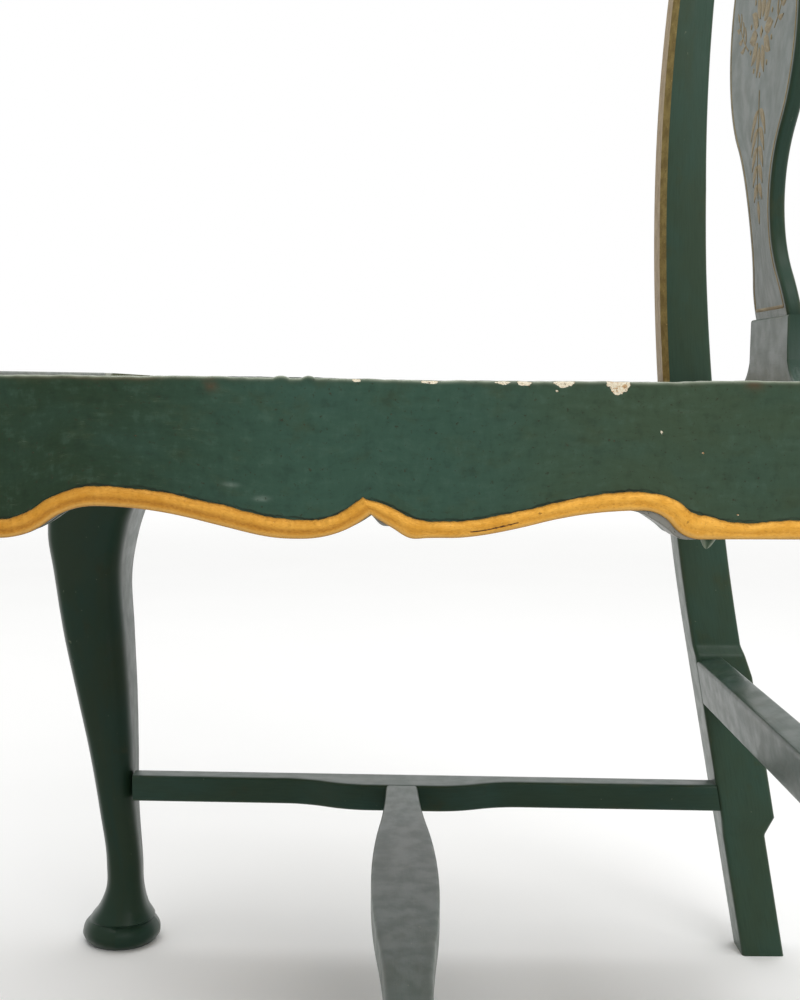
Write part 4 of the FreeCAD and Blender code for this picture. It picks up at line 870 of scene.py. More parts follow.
def bead_lines(s, z):
    """The bead's lower and upper lines. Each half is moved along its own normal, and a fan of
    stations turns the upper line about the cusp until it meets the mitre."""
    half = len(s[s <= 0])
    lines = []
    for part in (slice(0, half), slice(half - 1, None)):
        slope = np.gradient(z[part], s[part])
        length = np.sqrt(1 + slope ** 2)
        lines.append((s[part], z[part], s[part] - slope / length * bead_width,
                      z[part] + bead_width / length))
    upper = lobe_radius - bead_width
    start = math.asin(lobe_reach / lobe_radius)
    stop = math.asin(lobe_reach / upper)
    turn = np.linspace(start, stop, 8)[1:]
    fan_s = -lobe_reach + upper * np.sin(turn)
    fan_z = rail_low + lobe_radius - upper * np.cos(turn)
    cusp_s = np.zeros(len(turn))
    cusp_z = cusp_s + z[half - 1]
    fan = (cusp_s, cusp_z, fan_s, fan_z)
    back = (cusp_s, cusp_z, -fan_s[::-1], fan_z[::-1])
    return [np.concatenate(four) for four in zip(lines[0], fan, back, lines[1])]


def bead_grid(low, high, out, stand):
    """A profile from the lower to the upper line at each station: its height is minus the
    cosine, and its stand the sine to the power 0.75, of an angle that runs half a turn, less
    the channel. A flat back a little inside the rail closes it. The hollow mark is 1 at the
    back and 0 on the crown."""
    turn = np.linspace(0, math.pi, 25)
    share = (1 - np.cos(turn)) / 2
    channel = 1 - 0.16 * np.exp(-((share - channel_share) / 0.12) ** 2)
    proud = np.concatenate([np.sin(turn) ** 0.75 * channel, [-0.3, -0.3, -0.3]])
    share = np.concatenate([share, [1.0, 0.5, 0.0]])
    grid = low[:, None] + (high - low)[:, None] * share[None, :, None]
    grid = grid + np.array(out) * (stand[:, None] * proud)[..., None]
    return grid, share, 1 - np.clip(proud, 0, 1) ** 0.7


def side_bead(name, word, side, near):
    stop = post_front(rail_low) - cusp_y - 0.4
    s = stations(block_rear - cusp_y, stop, 0.5 if near else 1.5)
    z = scallop(s, **(own_humps if near else {}))
    low_s, low_z, high_s, high_z = bead_lines(s, z)
    high_z = high_z + 0.16 * ripple(low_s, 31 + side, 7, 30.0) * (np.abs(high_s) > 14)
    if near:
        high_z = high_z + by_hand(high_s, LIFT) - 1.7 * np.exp(-(high_s / 4.0) ** 2)
        low_z = low_z - by_hand(low_s, HANG)
        high_s = high_s - 3.6 * np.exp(-(high_s / 8.0) ** 2)
    low_y = cusp_y + low_s
    high_y = cusp_y + np.clip(high_s, s[0], stop)
    stand = bead_stand + 0.15 * ripple(low_s, 33 + side, 6, 26.0)
    grid, share, hollow = bead_grid(xyz(rail_outer(low_y), low_y, low_z),
                                    xyz(rail_outer(high_y), high_y, high_z),
                                    [1.0, side_slope, 0.0], stand)
    along = np.broadcast_to(low_s[:, None], grid.shape[:2])
    crack = np.exp(-((share - 0.30 - 0.03 * (along - 43) / 12) / 0.05) ** 2)
    crack = crack * smoothly(along, crack_start, crack_start + 3)
    dirt = 0.95 * crack * smoothly(-along, -crack_stop, 3.5 - crack_stop)
    for s0, share0, size in ((75.5, 0.62, 1.2), (137.6, 0.55, 1.0)):
        away = (along - s0) ** 2 + ((share - share0) * bead_width) ** 2
        dirt = np.maximum(dirt, 0.6 * np.exp(-away / size ** 2))
    # Marks for the painted shade in the channel and the painted highlight on the lower lip.
    channel = np.exp(-((share - channel_share) / 0.14) ** 2) * (1 - 0.75 * smoothly(along, -25, 35))
    lip = np.exp(-((share - 0.10) / 0.10) ** 2)
    marks = {"dirt": dirt * near, "hollow": hollow, "channel": channel, "lip": lip}
    make_piece(name, [shell(grid * [side, 1, 1], **marks)], "body", [gold_bead],
               ["side_rail_bead_" + word], 55)


side_bead("near bead", "left", 1, near=True)
side_bead("far bead", "right", -1, near=False)

# %% [markdown]
# ## The front rail
# It has the same outline and bead as the side rails, between the two front legs. Across the
# chair the distance from the cusp is simply X, so the same functions serve. Its lip stands as
# high as the leg blocks, and its top is painted pale as a sheen of light.

# %% Front rail and its bead
lip_rows = 14
top_columns = 11
forwards = [0.0, -1.0, 0.0]


def front_bar(x, y, low_z, high_z, thick, bend, rows=0):
    """A bar that runs across the chair, behind the upright plane at y."""
    middle = y + thick / 2
    grid, wear = bar(xyz(x, middle, low_z), xyz(x, middle, high_z), forwards, thick, bend,
                     rows=rows)
    return shell(grid, wear=wear)


x = stations(-block_inner, block_inner, 1.6)
edge_z = scallop(x)
lip = front_bar(x, block_front, edge_z, lip_top, seat_lip, 1.3, lip_rows)
# The top of the lip is painted pale as a sheen of light.
wear_and_sheen = np.zeros((len(x) - 1, lip["grid"].shape[1]), int)
wear_and_sheen[:, lip_rows:lip_rows + top_columns] = 1
lip["paint"] = wear_and_sheen
shelf = front_bar(x, block_front + seat_lip - overlap, edge_z, ledge,
                  rail_thick - seat_lip + overlap, 0.8)
make_piece("front rail", [lip, shelf], "body", [paint_green, pale_sheen_paint],
           ["front_rail"])
low_x, low_z, high_x, high_z = bead_lines(x, edge_z)
high_x = np.clip(high_x, -block_inner, block_inner)
grid, share, hollow = bead_grid(xyz(low_x, block_front, low_z), xyz(high_x, block_front, high_z),
                                forwards, np.full(len(low_x), bead_stand))
make_piece("front bead", [shell(grid, hollow=hollow)], "body", [gold_bead],
           ["front_rail_bead"], 55)

# %% [markdown]
# ## The front legs
# A bent front leg is sawn from a thick square: it swells at the knee, draws in towards the ankle
# and ends in a round pad. Its section is a square whose corners get rounder on the way down. The
# table gives, for a few heights, how far the outer sides stand out, how far the inner sides draw
# in and the corners' radius, and a smooth line through these values gives every section between.
# On top of the leg stands the L that closes the rebate at the corner of the seat.

# %% Front legs
leg_top = 414.0
KNEE = np.array([
    (0.0, -5.0, 6.0, 25.0), (8.0, 0.0, 1.0, 30.0), (18.0, 4.1, -1.1, 24.0), (28.2, -2.7, 3.8, 17.0),
    (41.8, -8.8, 6.9, 12.0), (65.1, -10.0, 7.8, 10.3), (105.2, -4.5, 10.9, 9.4),
    (150.0, 3.1, 12.3, 9.7), (195.8, 13.3, 14.8, 10.4), (239.8, 23.3, 18.3, 11.0),
    (290.0, 31.3, 20.9, 10.5), (319.9, 34.0, 15.6, 10.1), (345.0, 28.9, 7.1, 9.3),
    (367.8, 14.3, 1.5, 5.9), (389.8, 0.0, 0.0, 2.7), (402.0, 0.0, 0.0, 2.7),
    (leg_top, 0.0, 0.0, 2.7)])
# The L on top of the leg: heights, how far each is drawn in, and how worn it is.
TIERS = ((leg_top, 0.0, 0.2), (438.5, 0.0, 0.7), (441.6, 0.2, 1.0), (lip_top, 1.0, 0.8))
pad_top = 18.0
pad_radius = 30.0
pad_widest = 8.0
pad_off = 2.5
inner_skew = 4.5
rear_fall = 1.8
nip = 2.7


def rounded_square(x0, x1, y0, y1, corner, rear_corner, steps=7):
    """Points round a square with quarter circles for corners, at each station. The corner
    between the two inner sides, at the rear, has a radius of its own."""
    turn = np.linspace(0, math.pi / 2, steps)
    loops_x, loops_y = [], []
    corners = ((x1, y1, -1, -1), (x0, y1, 1, -1), (x0, y0, 1, 1), (x1, y0, -1, 1))
    for k, (at_x, at_y, in_x, in_y) in enumerate(corners):
        angle = turn + k * math.pi / 2
        size = rear_corner if k == 1 else corner
        loops_x.append((at_x + in_x * size)[:, None] + size[:, None] * np.cos(angle))
        loops_y.append((at_y + in_y * size)[:, None] + size[:, None] * np.sin(angle))
    ridge = np.tile(np.sin(2 * turn) ** 0.6, 4)
    return np.concatenate(loops_x, 1), np.concatenate(loops_y, 1), ridge


def ridge_loop():
    """The L that stands round the slip seat on top of a leg, seen from above."""
    y0, y1 = block_front, block_rear
    inner_y = y0 + seat_lip
    x1 = half_front
    return np.array([(x1 - nip, y0), (x1 - 0.8, y0 + 0.8), (x1, y0 + nip), (x1, (y0 + y1) / 2),
                     (x1, y1), (rail_outer(y1) - seat_lip, y1),
                     (rail_outer(inner_y) - seat_lip, inner_y), (block_inner, inner_y),
                     (block_inner, y0), ((x1 + block_inner) / 2, y0)])


def front_leg(name, word, side):
    z = np.concatenate([np.linspace(0, pad_top, 19), np.linspace(19.5, leg_top, 180)])
    out, drawn, corner = [through(z, KNEE[:, 0], KNEE[:, k]) for k in (1, 2, 3)]
    foot = z <= pad_top
    middle_x = half_front - leg_block / 2 + pad_off
    middle_y = block_rear - leg_block / 2 - pad_off
    fall = (z - pad_widest) * np.where(z < pad_widest, 2.07, 1.66)
    radius = np.sqrt(np.clip(pad_radius ** 2 - fall ** 2, 1, None))
    x0 = np.where(foot, middle_x - radius, block_inner + drawn)
    x1 = np.where(foot, middle_x + radius, half_front + out)
    y0 = np.where(foot, middle_y - radius, block_front - out)
    y1 = np.where(foot, middle_y + radius, block_rear - drawn)
    corner = np.where(foot, radius, np.minimum(corner, (x1 - x0) / 2))
    bent = smoothly(z, 40, 130) * (1 - smoothly(z, 325, 372))
    xs, ys, ridge = rounded_square(x0, x1, y0, y1, corner, corner + 3.0 * bent)
    inner = (x1[:, None] - xs) / (x1 - x0)[:, None]
    behind = (ys - y0[:, None]) / (y1 - y0)[:, None]
    ys = ys - inner_skew * bent[:, None] * inner * behind
    grid = xyz(xs, ys, z[:, None])
    wear = ridge[None] * np.clip(6.0 / corner, 0, 1)[:, None]
    loop = ridge_loop()
    height, drawn_in, fade = np.array(TIERS).T[:, :, None]
    flat = loop + unit(loop.mean(axis=0) - loop) * drawn_in[..., None]
    top = xyz(flat[..., 0], flat[..., 1], height)
    top[1:, :, 2] -= rear_fall * smoothly(top[1:, :, 1], block_front + 8, block_rear)
    # The upper tiers of the L are painted pale as a sheen of light.
    wear_and_sheen = np.array([[0], [1], [1]]) + np.zeros((3, len(loop)), int)
    shells = [shell(grid * [side, 1, 1], wear=wear),
              shell(top * [side, 1, 1], paint=wear_and_sheen, wear=fade)]
    make_piece(name, shells, "body", [leg_paint_painted_shade, pale_sheen_paint],
               ["front_leg_" + word], 50)


front_leg("front leg on the near side", "left", 1)
front_leg("front leg on the far side", "right", -1)

# %% [markdown]
# ## The back posts
# One sawn plank makes a back leg and the upright of the back. Below the seat it rakes backwards
# and swells to a block for the stretchers. Above the seat it curves and tapers towards the
# crest. There its two front arrises are cut off by a chamfer laid with thin gold, and the face
# between the chamfers is washed with gold rubbed thinner still.

# %% Back posts
gold_start = 437.0
# Heights of a post with its thickness from front to back, and with its width.
DEPTHS = ((0, 32.0), (95, 32.0), (110, 40.5), (218, 40.5), (241, 36.4), (250, 36.4), (440, 36.0),
          (520, 34.2), (580, 33.4), (post_top, 24.0))
WIDTHS = ((0, post_width), (95, post_width), (110, post_block), (234.5, post_block),
          (241, post_width), (post_top, post_width))


def back_post(name, word, side):
    z = np.unique(np.concatenate([np.linspace(0, post_top, 226), np.linspace(90, 114, 13),
                                  np.linspace(212, 250, 20), np.linspace(434, 444, 11)]))
    turn = np.arcsin(np.clip(z - waist_z, 0, None) / lean_radius)
    width = np.interp(z, *zip(*WIDTHS))
    front = xyz(half_rear - width / 2, post_front(z), z)
    deep = np.interp(z, *zip(*DEPTHS))[:, None]
    back = front + deep * xyz(0, np.cos(turn), -np.sin(turn))
    grown = smoothly(z, gold_start - 1, gold_start + 3)
    grid, wear = bar(front, back, [1.0, 0.0, 0.0], width, 2.4, bend_low=3.0 + 1.2 * grown,
                     flatten=grown)
    spots = section_spots(0)
    chamfer = spots[6] < 0
    front_face = spots[2] == -1
    above = (z > gold_start)[:, None]
    golden = chamfer | np.roll(chamfer, -1)
    paint = above[:-1] * np.where(golden, 1, 2 * front_face)
    gilt = above * chamfer
    shells = [shell(grid * [side, 1, 1], paint=paint, wear=wear * (1 - gilt), hollow=0.3 * gilt)]
    make_piece(name, shells, "body", [post_paint_painted_light, gold_thin, gold_wash],
               ["rear_post_" + word], 35)


back_post("back post on the near side", "left", 1)
back_post("back post on the far side", "right", -1)

# %% [markdown]
# ## Rear rail and stretchers
# These are plain sticks, planed square, whose arrises were taken off with a stroke of the plane.
# The side stretchers swell inwards where the middle one meets them, and the middle one swells
# at its own middle, each by two equal arcs.

# %% Rear rail and stretchers
rear_deep = 28.0
rear_tall = 46.0
rear_stick = {"top": 230.0, "deep": 20.0, "tall": 34.0}
side_stick = {"low": 115.0, "deep": 18.0, "tall": 20.0}
cross_run = 20.0
rake_angle = math.atan(rake_slope)
rake_down = np.array([0.0, math.sin(rake_angle), -math.cos(rake_angle)])
rake_back = np.array([0.0, math.cos(rake_angle), math.sin(rake_angle)])


def across_chair(half, y, z, count=90):
    """A level line across the chair."""
    return xyz(np.linspace(-half, half, count), y, z)


def board(name, node, low, high, across, thick, bend, bend_low=None, side=1, crease=40):
    """One bar in green paint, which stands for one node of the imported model."""
    grid, wear = bar(low, high, across, thick, bend, bend_low)
    make_piece(name, [shell(grid * [side, 1, 1], wear=wear)], "body",
               [paint_green], [node], crease)


high = across_chair(post_inner, rail_back - rear_deep / 2, ledge)
board("rear rail", "rear_rail", high - [0, 0, rear_tall], high, [0.0, 1.0, 0.0], rear_deep, 1.5)
high = across_chair(half_rear - post_block, post_front(rear_stick["top"]), rear_stick["top"])
high = high + rake_back * rear_stick["deep"] / 2
board("rear stretcher", "rear_stretcher", high + rake_down * rear_stick["tall"], high,
      -rake_back, rear_stick["deep"], 2.2)


def side_stretcher(name, word, side):
    y = cusp_y + np.concatenate([np.linspace(-186.0, 0, 70), np.linspace(2, 261.4, 96)])
    front_x = half_front - 19.5 - side_stick["deep"] / 2
    rear_x = half_rear - 17.5 - side_stick["deep"] / 2
    away = np.abs(y - cusp_y - cross_run)
    swell = swing(np.clip(away, 24, 90), 24, 14.0, 90, 0.0)
    x = front_x + (rear_x - front_x) * (y - y[0]) / (y[-1] - y[0]) - swell / 2
    low = xyz(x, y, side_stick["low"])
    high = low + [0, 0, side_stick["tall"]]
    high[:, 1] -= smoothly(y, y[-1] - 30, y[-1]) * side_stick["tall"] * rake_slope
    board(name, "side_stretcher_" + word, low, high, [1.0, 0.0, 0.0],
          side_stick["deep"] + swell, 2.5, side=side)


side_stretcher("side stretcher on the near side", "left", 1)
side_stretcher("side stretcher on the far side", "right", -1)
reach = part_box("medial_stretcher")[1][0] / MM - 12
low = across_chair(reach, cusp_y + cross_run, side_stick["low"] + 0.3, 160)
half = swing(np.abs(low[:, 0]), 0, 21.0, reach, 12.0)
board("middle stretcher", "medial_stretcher", low, low + [0, 0, side_stick["tall"] - 0.6],
      forwards, 2 * half, 2.5)

# %% [markdown]
# ## Shoe and splat
# The splat is a thin board, sawn to the outline of a vase and bent so that it follows the
# sitter's back. Its foot stands in a shoe on the rear rail, a strip whose ends sweep up in a
# cove. The splat's section runs from its left edge to its right edge, along a bent middle line.

# %% Shoe and splat
splat_thick = 9.0
strip_tall = 22.0
shoe_tall = 62.0
cove_radius = 26.6
cove_start = 66.0
cove_stop = 41.2
SHOE_RUNS = ((-post_inner, -70, 50), (-68, -42, 60), (-41, 41, 50), (42, 68, 60),
             (70, post_inner, 50))
VASE = ((478, 36), (525, 24), (645, 78), (772, 27), (872, 58))
head_y = waist_y + lean_run + crest_deep / 2 * math.cos(lean)
head_z = post_top - crest_deep / 2 * math.sin(lean)
bend_z = head_z - (head_y - splat_y) / (1 - math.cos(lean)) * math.sin(lean)


def shoe_top(x):
    """Level strip, then a cove up to the middle: a circle that touches the strip."""
    away = np.abs(x)
    inside = np.clip(cove_start - away, 0, cove_radius - 0.5)
    cove = strip_tall + cove_radius - np.sqrt(cove_radius ** 2 - inside ** 2)
    return ledge + np.select([away > cove_start, away > cove_stop], [strip_tall, cove], shoe_tall)


def splat_line(z):
    """Y of the splat's middle: an arc up to the waist, upright, then an arc that leans."""
    lower = arc_radius(waist_z - VASE[0][0], splat_bend)
    upper = (head_z - bend_z) / math.sin(lean)
    down = np.clip(waist_z - z, 0, None)
    up = np.clip(z - bend_z, 0, head_z - bend_z)
    past = np.clip(z - head_z, 0, None) * math.tan(lean)
    return (splat_y + lower - np.sqrt(lower ** 2 - down ** 2)
            + upper - np.sqrt(upper ** 2 - up ** 2) + past)


def splat_half(z):
    """Half the vase's width: swings between its foot, neck, belly, throat and head."""
    made = np.where(z < VASE[0][0], float(VASE[0][1]), float(VASE[-1][1]))
    for (z0, w0), (z1, w1) in zip(VASE, VASE[1:]):
        inside = (z >= z0) & (z < z1)
        made[inside] = swing(z[inside], z0, w0, z1, w1)
    return made


x = np.concatenate([np.linspace(*run) for run in SHOE_RUNS])
shoe_y = rail_back - shoe_thick / 2
board("shoe", "splat_shoe", xyz(x, shoe_y, ledge), xyz(x, shoe_y, shoe_top(x)), forwards,
      shoe_thick, 1.8, bend_low=0.5, crease=50)
z = np.concatenate([np.linspace(470, 478, 6), np.linspace(479, 909, 300)])
line = splat_line(z)
half = splat_half(z)
board("splat", "splat", xyz(-half, line, z), xyz(half, line, z), xyz(0, -1, np.gradient(line, z)),
      splat_thick, 2.2)

# %% [markdown]
# ## The crest rail
# The crest is sawn from one board: its top rises in the middle, dips to two saddles and ends in
# rounded ears, and a shallow arch is cut below. Here its outline is one closed line, and the
# board is that line repeated through its thickness, drawn in a little at both faces. Each face
# is filled by rings that shrink to a level line inside the board.

# %% Crest
crest_y = waist_y + lean_run
crest_back = np.array([0.0, math.cos(lean), -math.sin(lean)])
crest_up = np.array([0.0, math.sin(lean), math.cos(lean)])
ear_round = 30.0
face_round = 3.0
heart_half = 205.0
heart_v = 33.0


def on_crest(u, v, deep):
    """A place on the crest: across the chair, up its leaning face and back into the board."""
    start = np.array([0.0, crest_y, post_top])
    u, v, deep = np.broadcast_arrays(u, v, deep)
    return start + xyz(u, 0, 0) + v[..., None] * crest_up + deep[..., None] * crest_back


def crest_half():
    """The outline's right half, from the middle of the arch round the ear to the top: level
    runs and swings, a swing sideways up the ear's side, and a quarter circle over the ear."""
    foot, ear, ear_v = half_rear + 3, half_rear + 12, 34.0
    inner = post_inner - 6
    u, v = [], []

    def run(u0, v0, u1, v1, count):
        along = np.linspace(u0, u1, count)[:-1]
        u.append(along)
        v.append(swing(along, u0, v0, u1, v1) if v0 != v1 else np.full(count - 1, v0))

    run(0, 5.0, 66, 5.0, 14)
    run(66, 5.0, 122, 19.0, 26)
    run(122, 19.0, inner, 0.0, 34)
    run(inner, 0.0, foot, 0.0, 12)
    rise = np.linspace(0, ear_v, 18)[:-1]
    u.append(swing(rise, 0, foot, ear_v, ear))
    v.append(rise)
    turn = np.linspace(0, math.pi / 2, 20)[:-1]
    u.append(ear - ear_round + ear_round * np.cos(turn))
    v.append(ear_v + ear_round * np.sin(turn))
    run(ear - ear_round, ear_v + ear_round, 108, 53.0, 48)
    run(108, 53.0, 0, 92.0, 54)
    return np.concatenate(u + [[0.0]]), np.concatenate(v + [[92.0]])


def inset(loop, distance):
    """A closed line drawn inwards: each point moves along the mean normal of its two sides."""
    ahead = unit(np.roll(loop, -1, axis=0) - loop)
    behind = np.roll(ahead, 1, axis=0)
    normal = unit(ahead + behind)[:, ::-1] * [-1, 1]
    return loop + normal * distance


u, v = crest_half()
outline = np.column_stack([np.concatenate([u, -u[-2:0:-1]]), np.concatenate([v, v[-2:0:-1]])])
turn = np.linspace(0, math.pi / 2, 6)
draw_in = face_round * (1 - np.sin(turn))
deep_at = face_round * (1 - np.cos(turn))
heart = np.column_stack([np.clip(outline[:, 0], -heart_half, heart_half),
                         np.full(len(outline), heart_v)])
face = inset(outline, face_round)
# Each layer is a line in the board, how deep it lies, and how worn it is.
layers = [(heart, 0.0, 0.0), (face + (heart - face) * 0.15, 0.0, 0.15)]
layers += [(inset(outline, i), d, math.exp(-i / 3 - d / 6)) for i, d in zip(draw_in, deep_at)]
layers += [(outline, 8.0, 0.3), (outline, 12.0, 0.15), (outline, 16.0, 0.3)]
layers += [(flat, crest_deep - d, wear_and_sheen) for flat, d, wear_and_sheen in layers[-4::-1]]
rings = np.array([on_crest(flat[:, 0], flat[:, 1], deep) for flat, deep, wear_and_sheen in layers])
wear = np.array([wear_and_sheen for flat, deep, wear_and_sheen in layers])[:, None]
make_piece("crest rail", [shell(rings, caps=False, wear=wear)], "body",
           [paint_green], ["crest_rail"], 35)

# %% [markdown]
# ## Gold lines and stencils
# Stencilled gold was rubbed through a cut pattern while the varnish was tacky, and thin lines
# were struck with a long brush. Each stroke here is a very flat lens: a line down its middle,
# a width that swells and fades, and about a fifth of a millimetre of height above the face. The
# pattern itself is a plain one of leaves round a rosette.

# %% Strokes of gold
stroke_height = 0.22


def stroke(path, width, place):
    """A flat lens along a path in the plane of a face. Each section runs across the path from
    one edge to the other over the front, and back behind the face."""
    tangent = np.gradient(path, axis=0)
    normal = unit(tangent)[:, ::-1] * [-1, 1]
    share = np.array([-1, -0.6, 0, 0.6, 1, 0.5, -0.5])
    raised = np.array([0, 1, 1, 1, 0, -1, -1]) * stroke_height
    points = path[:, None] + normal[:, None] * (width[:, None] * share)[..., None] / 2
    return shell(place(points[..., 0], points[..., 1], -raised), hollow=0.15)


def struck(loop, width, place):
    """A line of even width struck along a closed outline."""
    path = np.concatenate([loop, loop[:1]])
    return stroke(path, np.full(len(path), width), place)


def wander(start, heading, length):
    """A path whose equal steps turn with the heading."""
    steps = np.stack([np.cos(heading), np.sin(heading)], -1)
    return np.array(start) + np.cumsum(steps, 0) * length / len(heading)


def leaf(start, angle, length, wide, curl, place, count=14):
    """A leaf whose middle line turns steadily and whose width is a sine of its length."""
    t = np.linspace(0.02, 0.985, count)
    path = wander(start, angle + curl * (t - 0.5), length)
    return stroke(path, wide * np.sin(math.pi * t ** 0.8) + 0.15, place)


def spray(start, angle, size, place, bend=0.6, pairs=5):
    """A stem with pairs of leaves that get smaller towards its tip."""
    t = np.linspace(0, 1, 24)
    heading = angle + bend * t
    path = wander(start, heading, size)
    made = [stroke(path, 1.5 - 0.9 * t, place)]
    for k in range(pairs):
        at = int((k + 1) * 23 / (pairs + 0.6))
        for way in (1, -1):
            made.append(leaf(path[at], heading[at] + 0.75 * way, size * (0.36 - 0.04 * k),
                             size * 0.10, -0.9 * way, place))
    made.append(leaf(path[-1], heading[-1], size * 0.22, size * 0.09, 0.0, place))
    return made


def rosette(middle, size, place, petals=8):
    """Leaves set round a centre, with a ring of dots between them."""
    middle = np.array(middle)
    made = []
    for k in range(petals):
        angle = 2 * math.pi * k / petals
        between = angle + math.pi / petals
        base = middle + size * 0.28 * np.array([math.cos(angle), math.sin(angle)])
        dot = middle + size * 0.86 * np.array([math.cos(between), math.sin(between)])
        made.append(leaf(base, angle, size * 0.72, size * 0.36, 0.0, place))
        made.append(leaf(dot, angle, size * 0.16, size * 0.15, 0.0, place, 6))
    made.append(leaf(middle - [size * 0.13, 0], 0.0, size * 0.28, size * 0.28, 0.0, place, 8))
    return made


def on_splat(u, v, deep):
    """A place on the bent front face of the splat, at a height v."""
    slope = splat_line(v + 0.5) - splat_line(v - 0.5)
    length = np.sqrt(1 + slope ** 2)
    back = deep - splat_thick / 2
    return xyz(u, splat_line(v) + back / length, v - back * slope / length)


z = np.linspace(484, 894, 210)
half = splat_half(z) - 5.0
border = np.concatenate([np.column_stack([half, z]), np.column_stack([-half[::-1], z[::-1]])])
crest_gold = [struck(inset(outline, 7.5), 2.0, on_crest)]
crest_gold += rosette((0.0, 50.0), 25.0, on_crest, 10)
splat_gold = [struck(border, 1.9, on_splat)]
splat_gold += rosette((0.0, 645.0), 26.0, on_splat, 10)
splat_gold += spray((0.0, 676.0), math.pi / 2 - 0.02, 74.0, on_splat, 0.04, 6)
splat_gold += spray((0.0, 614.0), -math.pi / 2, 66.0, on_splat, 0.0, 5)
sides = ((1, 0.0), (-1, math.pi))
for side, base in sides:
    crest_gold += spray((side * 31.0, 50.0), base - 0.42 * side, 62.0, on_crest, 0.75 * side, 5)
    crest_gold += spray((side * 112.0, 35.0), base - 0.08 * side, 50.0, on_crest, 0.34 * side, 4)
    crest_gold += rosette((side * 189.0, 38.0), 12.0, on_crest, 8)
    splat_gold += spray((side * 28.0, 640.0), base + 0.5 * side, 34.0, on_splat, 0.5 * side, 3)
splat_gold += rosette((0.0, 846.0), 17.0, on_splat, 8)
for side, base in sides:
    splat_gold += spray((side * 19.0, 850.0), base + 0.2 * side, 22.0, on_splat, 0.4 * side, 2)
make_piece("gold on the crest", crest_gold, "body", [gold_thin], (), 60)
make_piece("gold on the splat", splat_gold, "body", [gold_thin], (), 60)

# %% [markdown]
# ## The rush seat
# Rush is twisted into a cord and wound round the four bars of the slip seat. Each turn crosses
# the top square to its bar until it meets the turns of the next bar, so that four fields meet
# along seams that run from the corners to the middle. Every cord here is a tube: in along the
# bottom, round the edge, and back over the top to the seam.

# %% Rush
seat_front = cusp_y - 199.5
seat_back = cusp_y + 232.8
seat_notch = cusp_y + 209.2
seat_middle = (seat_front + seat_back) / 2
side_gap = 18.5
notch_x = 194.0
cord = 3.0
pitch = 6.1
seam_sink = 2.6
least_reach = 16.0
cord_high = ledge + 22.0 - cord - 0.3
cord_low = ledge + cord + 0.3
front_half = rail_outer(seat_front) - side_gap


def seat_side(y):
    """X of the seat's left edge, which steps in beside the back post."""
    return np.where(y < seat_notch, rail_outer(y) - side_gap, notch_x)


def rush_cord(start, inner, length, rng):
    """A tube in its own upright plane, from the seam under the seat out to the edge, round it
    in half a circle, and back to the seam on top, where it sinks in."""
    way = unit(inner - start)
    wob = rng.uniform(-0.25, 0.25)
    size = cord * rng.uniform(0.94, 1.04)
    bend = (cord_high - cord_low) / 2
    turn = np.linspace(-math.pi / 2, math.pi / 2, 9)[1:-1]
    level = np.linspace(length - 1, bend + cord, 6)
    out = np.concatenate([level, bend + cord - bend * np.cos(turn), level[::-1]])
    rise = np.concatenate([np.full(6, -bend), bend * np.sin(turn), np.full(6, bend)])
    end = smoothly(level, length - 14, length)
    rise = rise - np.sign(rise) * seam_sink * np.concatenate([end, np.zeros(7), end[::-1]])
    across = np.array([-way[1], way[0], 0.0])
    path = np.column_stack([start + way * out[:, None], (cord_high + cord_low) / 2 + rise])
    path = path + across * wob
    up = unit(np.cross(unit(np.gradient(path, axis=0)), across))
    angle = np.linspace(0, 2 * math.pi, 9)[:-1, None]
    ring = np.cos(angle) * across + np.sin(angle) * up[:, None]
    return shell(path[:, None] + ring * size)


def spaced(width):
    """Places of the cords across a field, evenly to both sides of its middle."""
    count = int((width - 5) / pitch)
    return (np.arange(count) - (count - 1) / 2) * pitch


field = []
for edge_y, half, seed in ((seat_front, front_half, 1), (seat_back, notch_x, 2)):
    rng = np.random.default_rng(seed)
    x = spaced(2 * half)
    reach = abs(seat_middle - edge_y) * (1 - np.abs(x) / half) + 2
    for at, length in zip(x, np.clip(reach, least_reach, None)):
        field.append(rush_cord(np.array([at, edge_y]), np.array([at, seat_middle]), length, rng))
y = spaced(seat_back - seat_front) + seat_middle
edge = seat_side(y)
share = np.minimum(y - seat_front, seat_back - y) / (seat_back - seat_middle)
corner_x = np.where(y < seat_middle, front_half, notch_x)
reach = np.clip(edge - corner_x * (1 - share) + 2, least_reach, None)
for side in (1, -1):
    for k in range(len(y)):
        rng = np.random.default_rng(300 + k + len(y) * (side + 1))
        field.append(rush_cord(np.array([edge[k] * side, y[k]]), np.array([0.0, y[k]]),
                               reach[k], rng))
make_piece("rush seat", field, "slip_seat", [rush], ["rush_seat"], 70)
print("cords:", len(field))

# %% [markdown]
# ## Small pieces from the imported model
# The bars of the slip seat, the glue blocks and the pegs are simple and hardly seen, so the
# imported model's own shapes stay. They only need a finish in place of their plain one.

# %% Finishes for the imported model's own pieces
FINISH_OF = {"green_paint": paint_green_solid, "gilt_bead": gold_bead, "rush": rush,
             "bare_wood": wood}
slots = {part["node"]: part["material_slot"] for part in frame["record"]["subparts"]}
for node, held in frame["nodes"].items():
    if held.hide_render:
        continue
    held.data.materials.clear()
    held.data.materials.append(FINISH_OF[slots[node]])
    print("kept as it is:", node)

# %% [markdown]
# ## Floor and light
# The chair stands on a pale floor that keeps its soft shadow and glows a little far away, where
# it would turn grey against the surroundings. One soft panel stands beside the viewer, up and
# to the right, a wide one hangs above, and the white surroundings fill in the rest. Only what
# the camera sees of the surroundings, directly, by reflection or through glass, is pure white.
# The fill itself is weaker.

# %% Floor, light and surroundings
floor_half = 14.0
fill_strength = 0.36


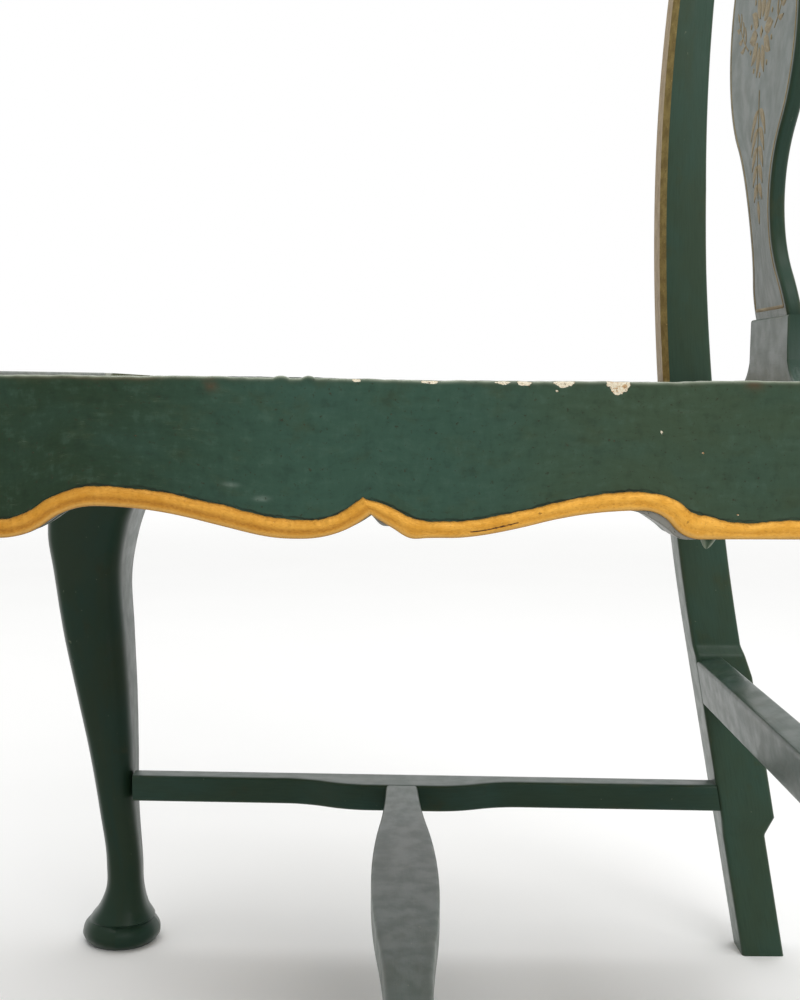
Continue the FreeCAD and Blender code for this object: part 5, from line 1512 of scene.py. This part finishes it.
def floor():
    mesh = bpy.data.meshes.new("floor")
    far = floor_half
    mesh.from_pydata([(-far, -far, 0), (far, -far, 0), (far, far, 0), (-far, far, 0)], [],
                     [(0, 1, 2, 3)])
    made = bpy.data.objects.new("floor", mesh)
    bpy.context.scene.collection.objects.link(made)
    r = Recipe("pale floor", where="object")
    r.base(r.noise(3.0, 2.0), (250, 250, 249), (253, 253, 252))
    away = r.node("ShaderNodeVectorMath", {0: r.place}, operation="LENGTH").outputs["Value"]
    mesh.materials.append(r.set(Base_Color=r.colour, Roughness=0.9, Specular_IOR_Level=0.1,
                                Emission_Color=(1.0, 1.0, 1.0, 1.0),
                                Emission_Strength=r.step(away, 2.0, 7.0, 0.0, 0.8)))


def panel(name, place, target, size, power):
    light = bpy.data.lights.new(name, "AREA")
    light.shape = "RECTANGLE"
    light.size, light.size_y = size
    light.energy = power
    made = bpy.data.objects.new(name, light)
    bpy.context.scene.collection.objects.link(made)
    made.location = place
    look = Vector(target) - Vector(place)
    made.rotation_euler = look.to_track_quat("-Z", "Y").to_euler()


def surroundings():
    world = bpy.data.worlds.new("surroundings")
    bpy.context.scene.world = world
    world.use_nodes = True
    tree = world.node_tree
    back = tree.nodes["Background"]
    back.inputs["Color"].default_value = (1, 1, 1, 1)
    path = tree.nodes.new("ShaderNodeLightPath")
    seen = path.outputs["Is Camera Ray"]
    for ray in ("Is Glossy Ray", "Is Transmission Ray"):
        either = tree.nodes.new("ShaderNodeMath")
        either.operation = "MAXIMUM"
        tree.links.new(seen, either.inputs[0])
        tree.links.new(path.outputs[ray], either.inputs[1])
        seen = either.outputs[0]
    level = tree.nodes.new("ShaderNodeMapRange")
    level.inputs["To Min"].default_value = fill_strength
    tree.links.new(seen, level.inputs["Value"])
    tree.links.new(level.outputs["Result"], back.inputs["Strength"])


floor()
panel("panel beside the viewer", (2.2, 0.9, 2.0), (0.2, 0, 0.42), (1.6, 1.6), 34.0)
panel("panel above", (-0.8, 0.0, 4.5), (-0.8, 0, 0), (6.0, 6.0), 195.0)
surroundings()
bpy.context.scene.view_settings.view_transform = "Standard"
print("lights:", len(bpy.data.lights))

# %% [markdown]
# ## The camera
# The viewer stands a good half metre from the near rail, at the height of its top edge, and
# looks slightly down. The camera's matrix is built from the direction it looks in and from the
# small tilt about it.

# %% Camera
yaw, pitch_down, roll = math.radians(0.56), math.radians(4.93), math.radians(0.47)
forward = Vector((-math.cos(yaw) * math.cos(pitch_down), math.sin(yaw) * math.cos(pitch_down),
                  -math.sin(pitch_down)))
right = forward.cross(Vector((0, 0, 1))).normalized()
up = right.cross(forward)
right, up = (right * math.cos(roll) + up * math.sin(roll),
             up * math.cos(roll) - right * math.sin(roll))
eye = Vector((855.88, cusp_y + 6.70, rail_top + 0.19)) * MM
lens = bpy.data.cameras.new("viewer")
lens.lens = 51.1
lens.sensor_width = 36.0
viewer = bpy.data.objects.new("viewer", lens)
bpy.context.scene.collection.objects.link(viewer)
turned = Matrix((right, up, -forward)).transposed().to_4x4()
viewer.matrix_world = Matrix.Translation(eye) @ turned
bpy.context.scene.camera = viewer
print("camera at", [round(v, 3) for v in eye])
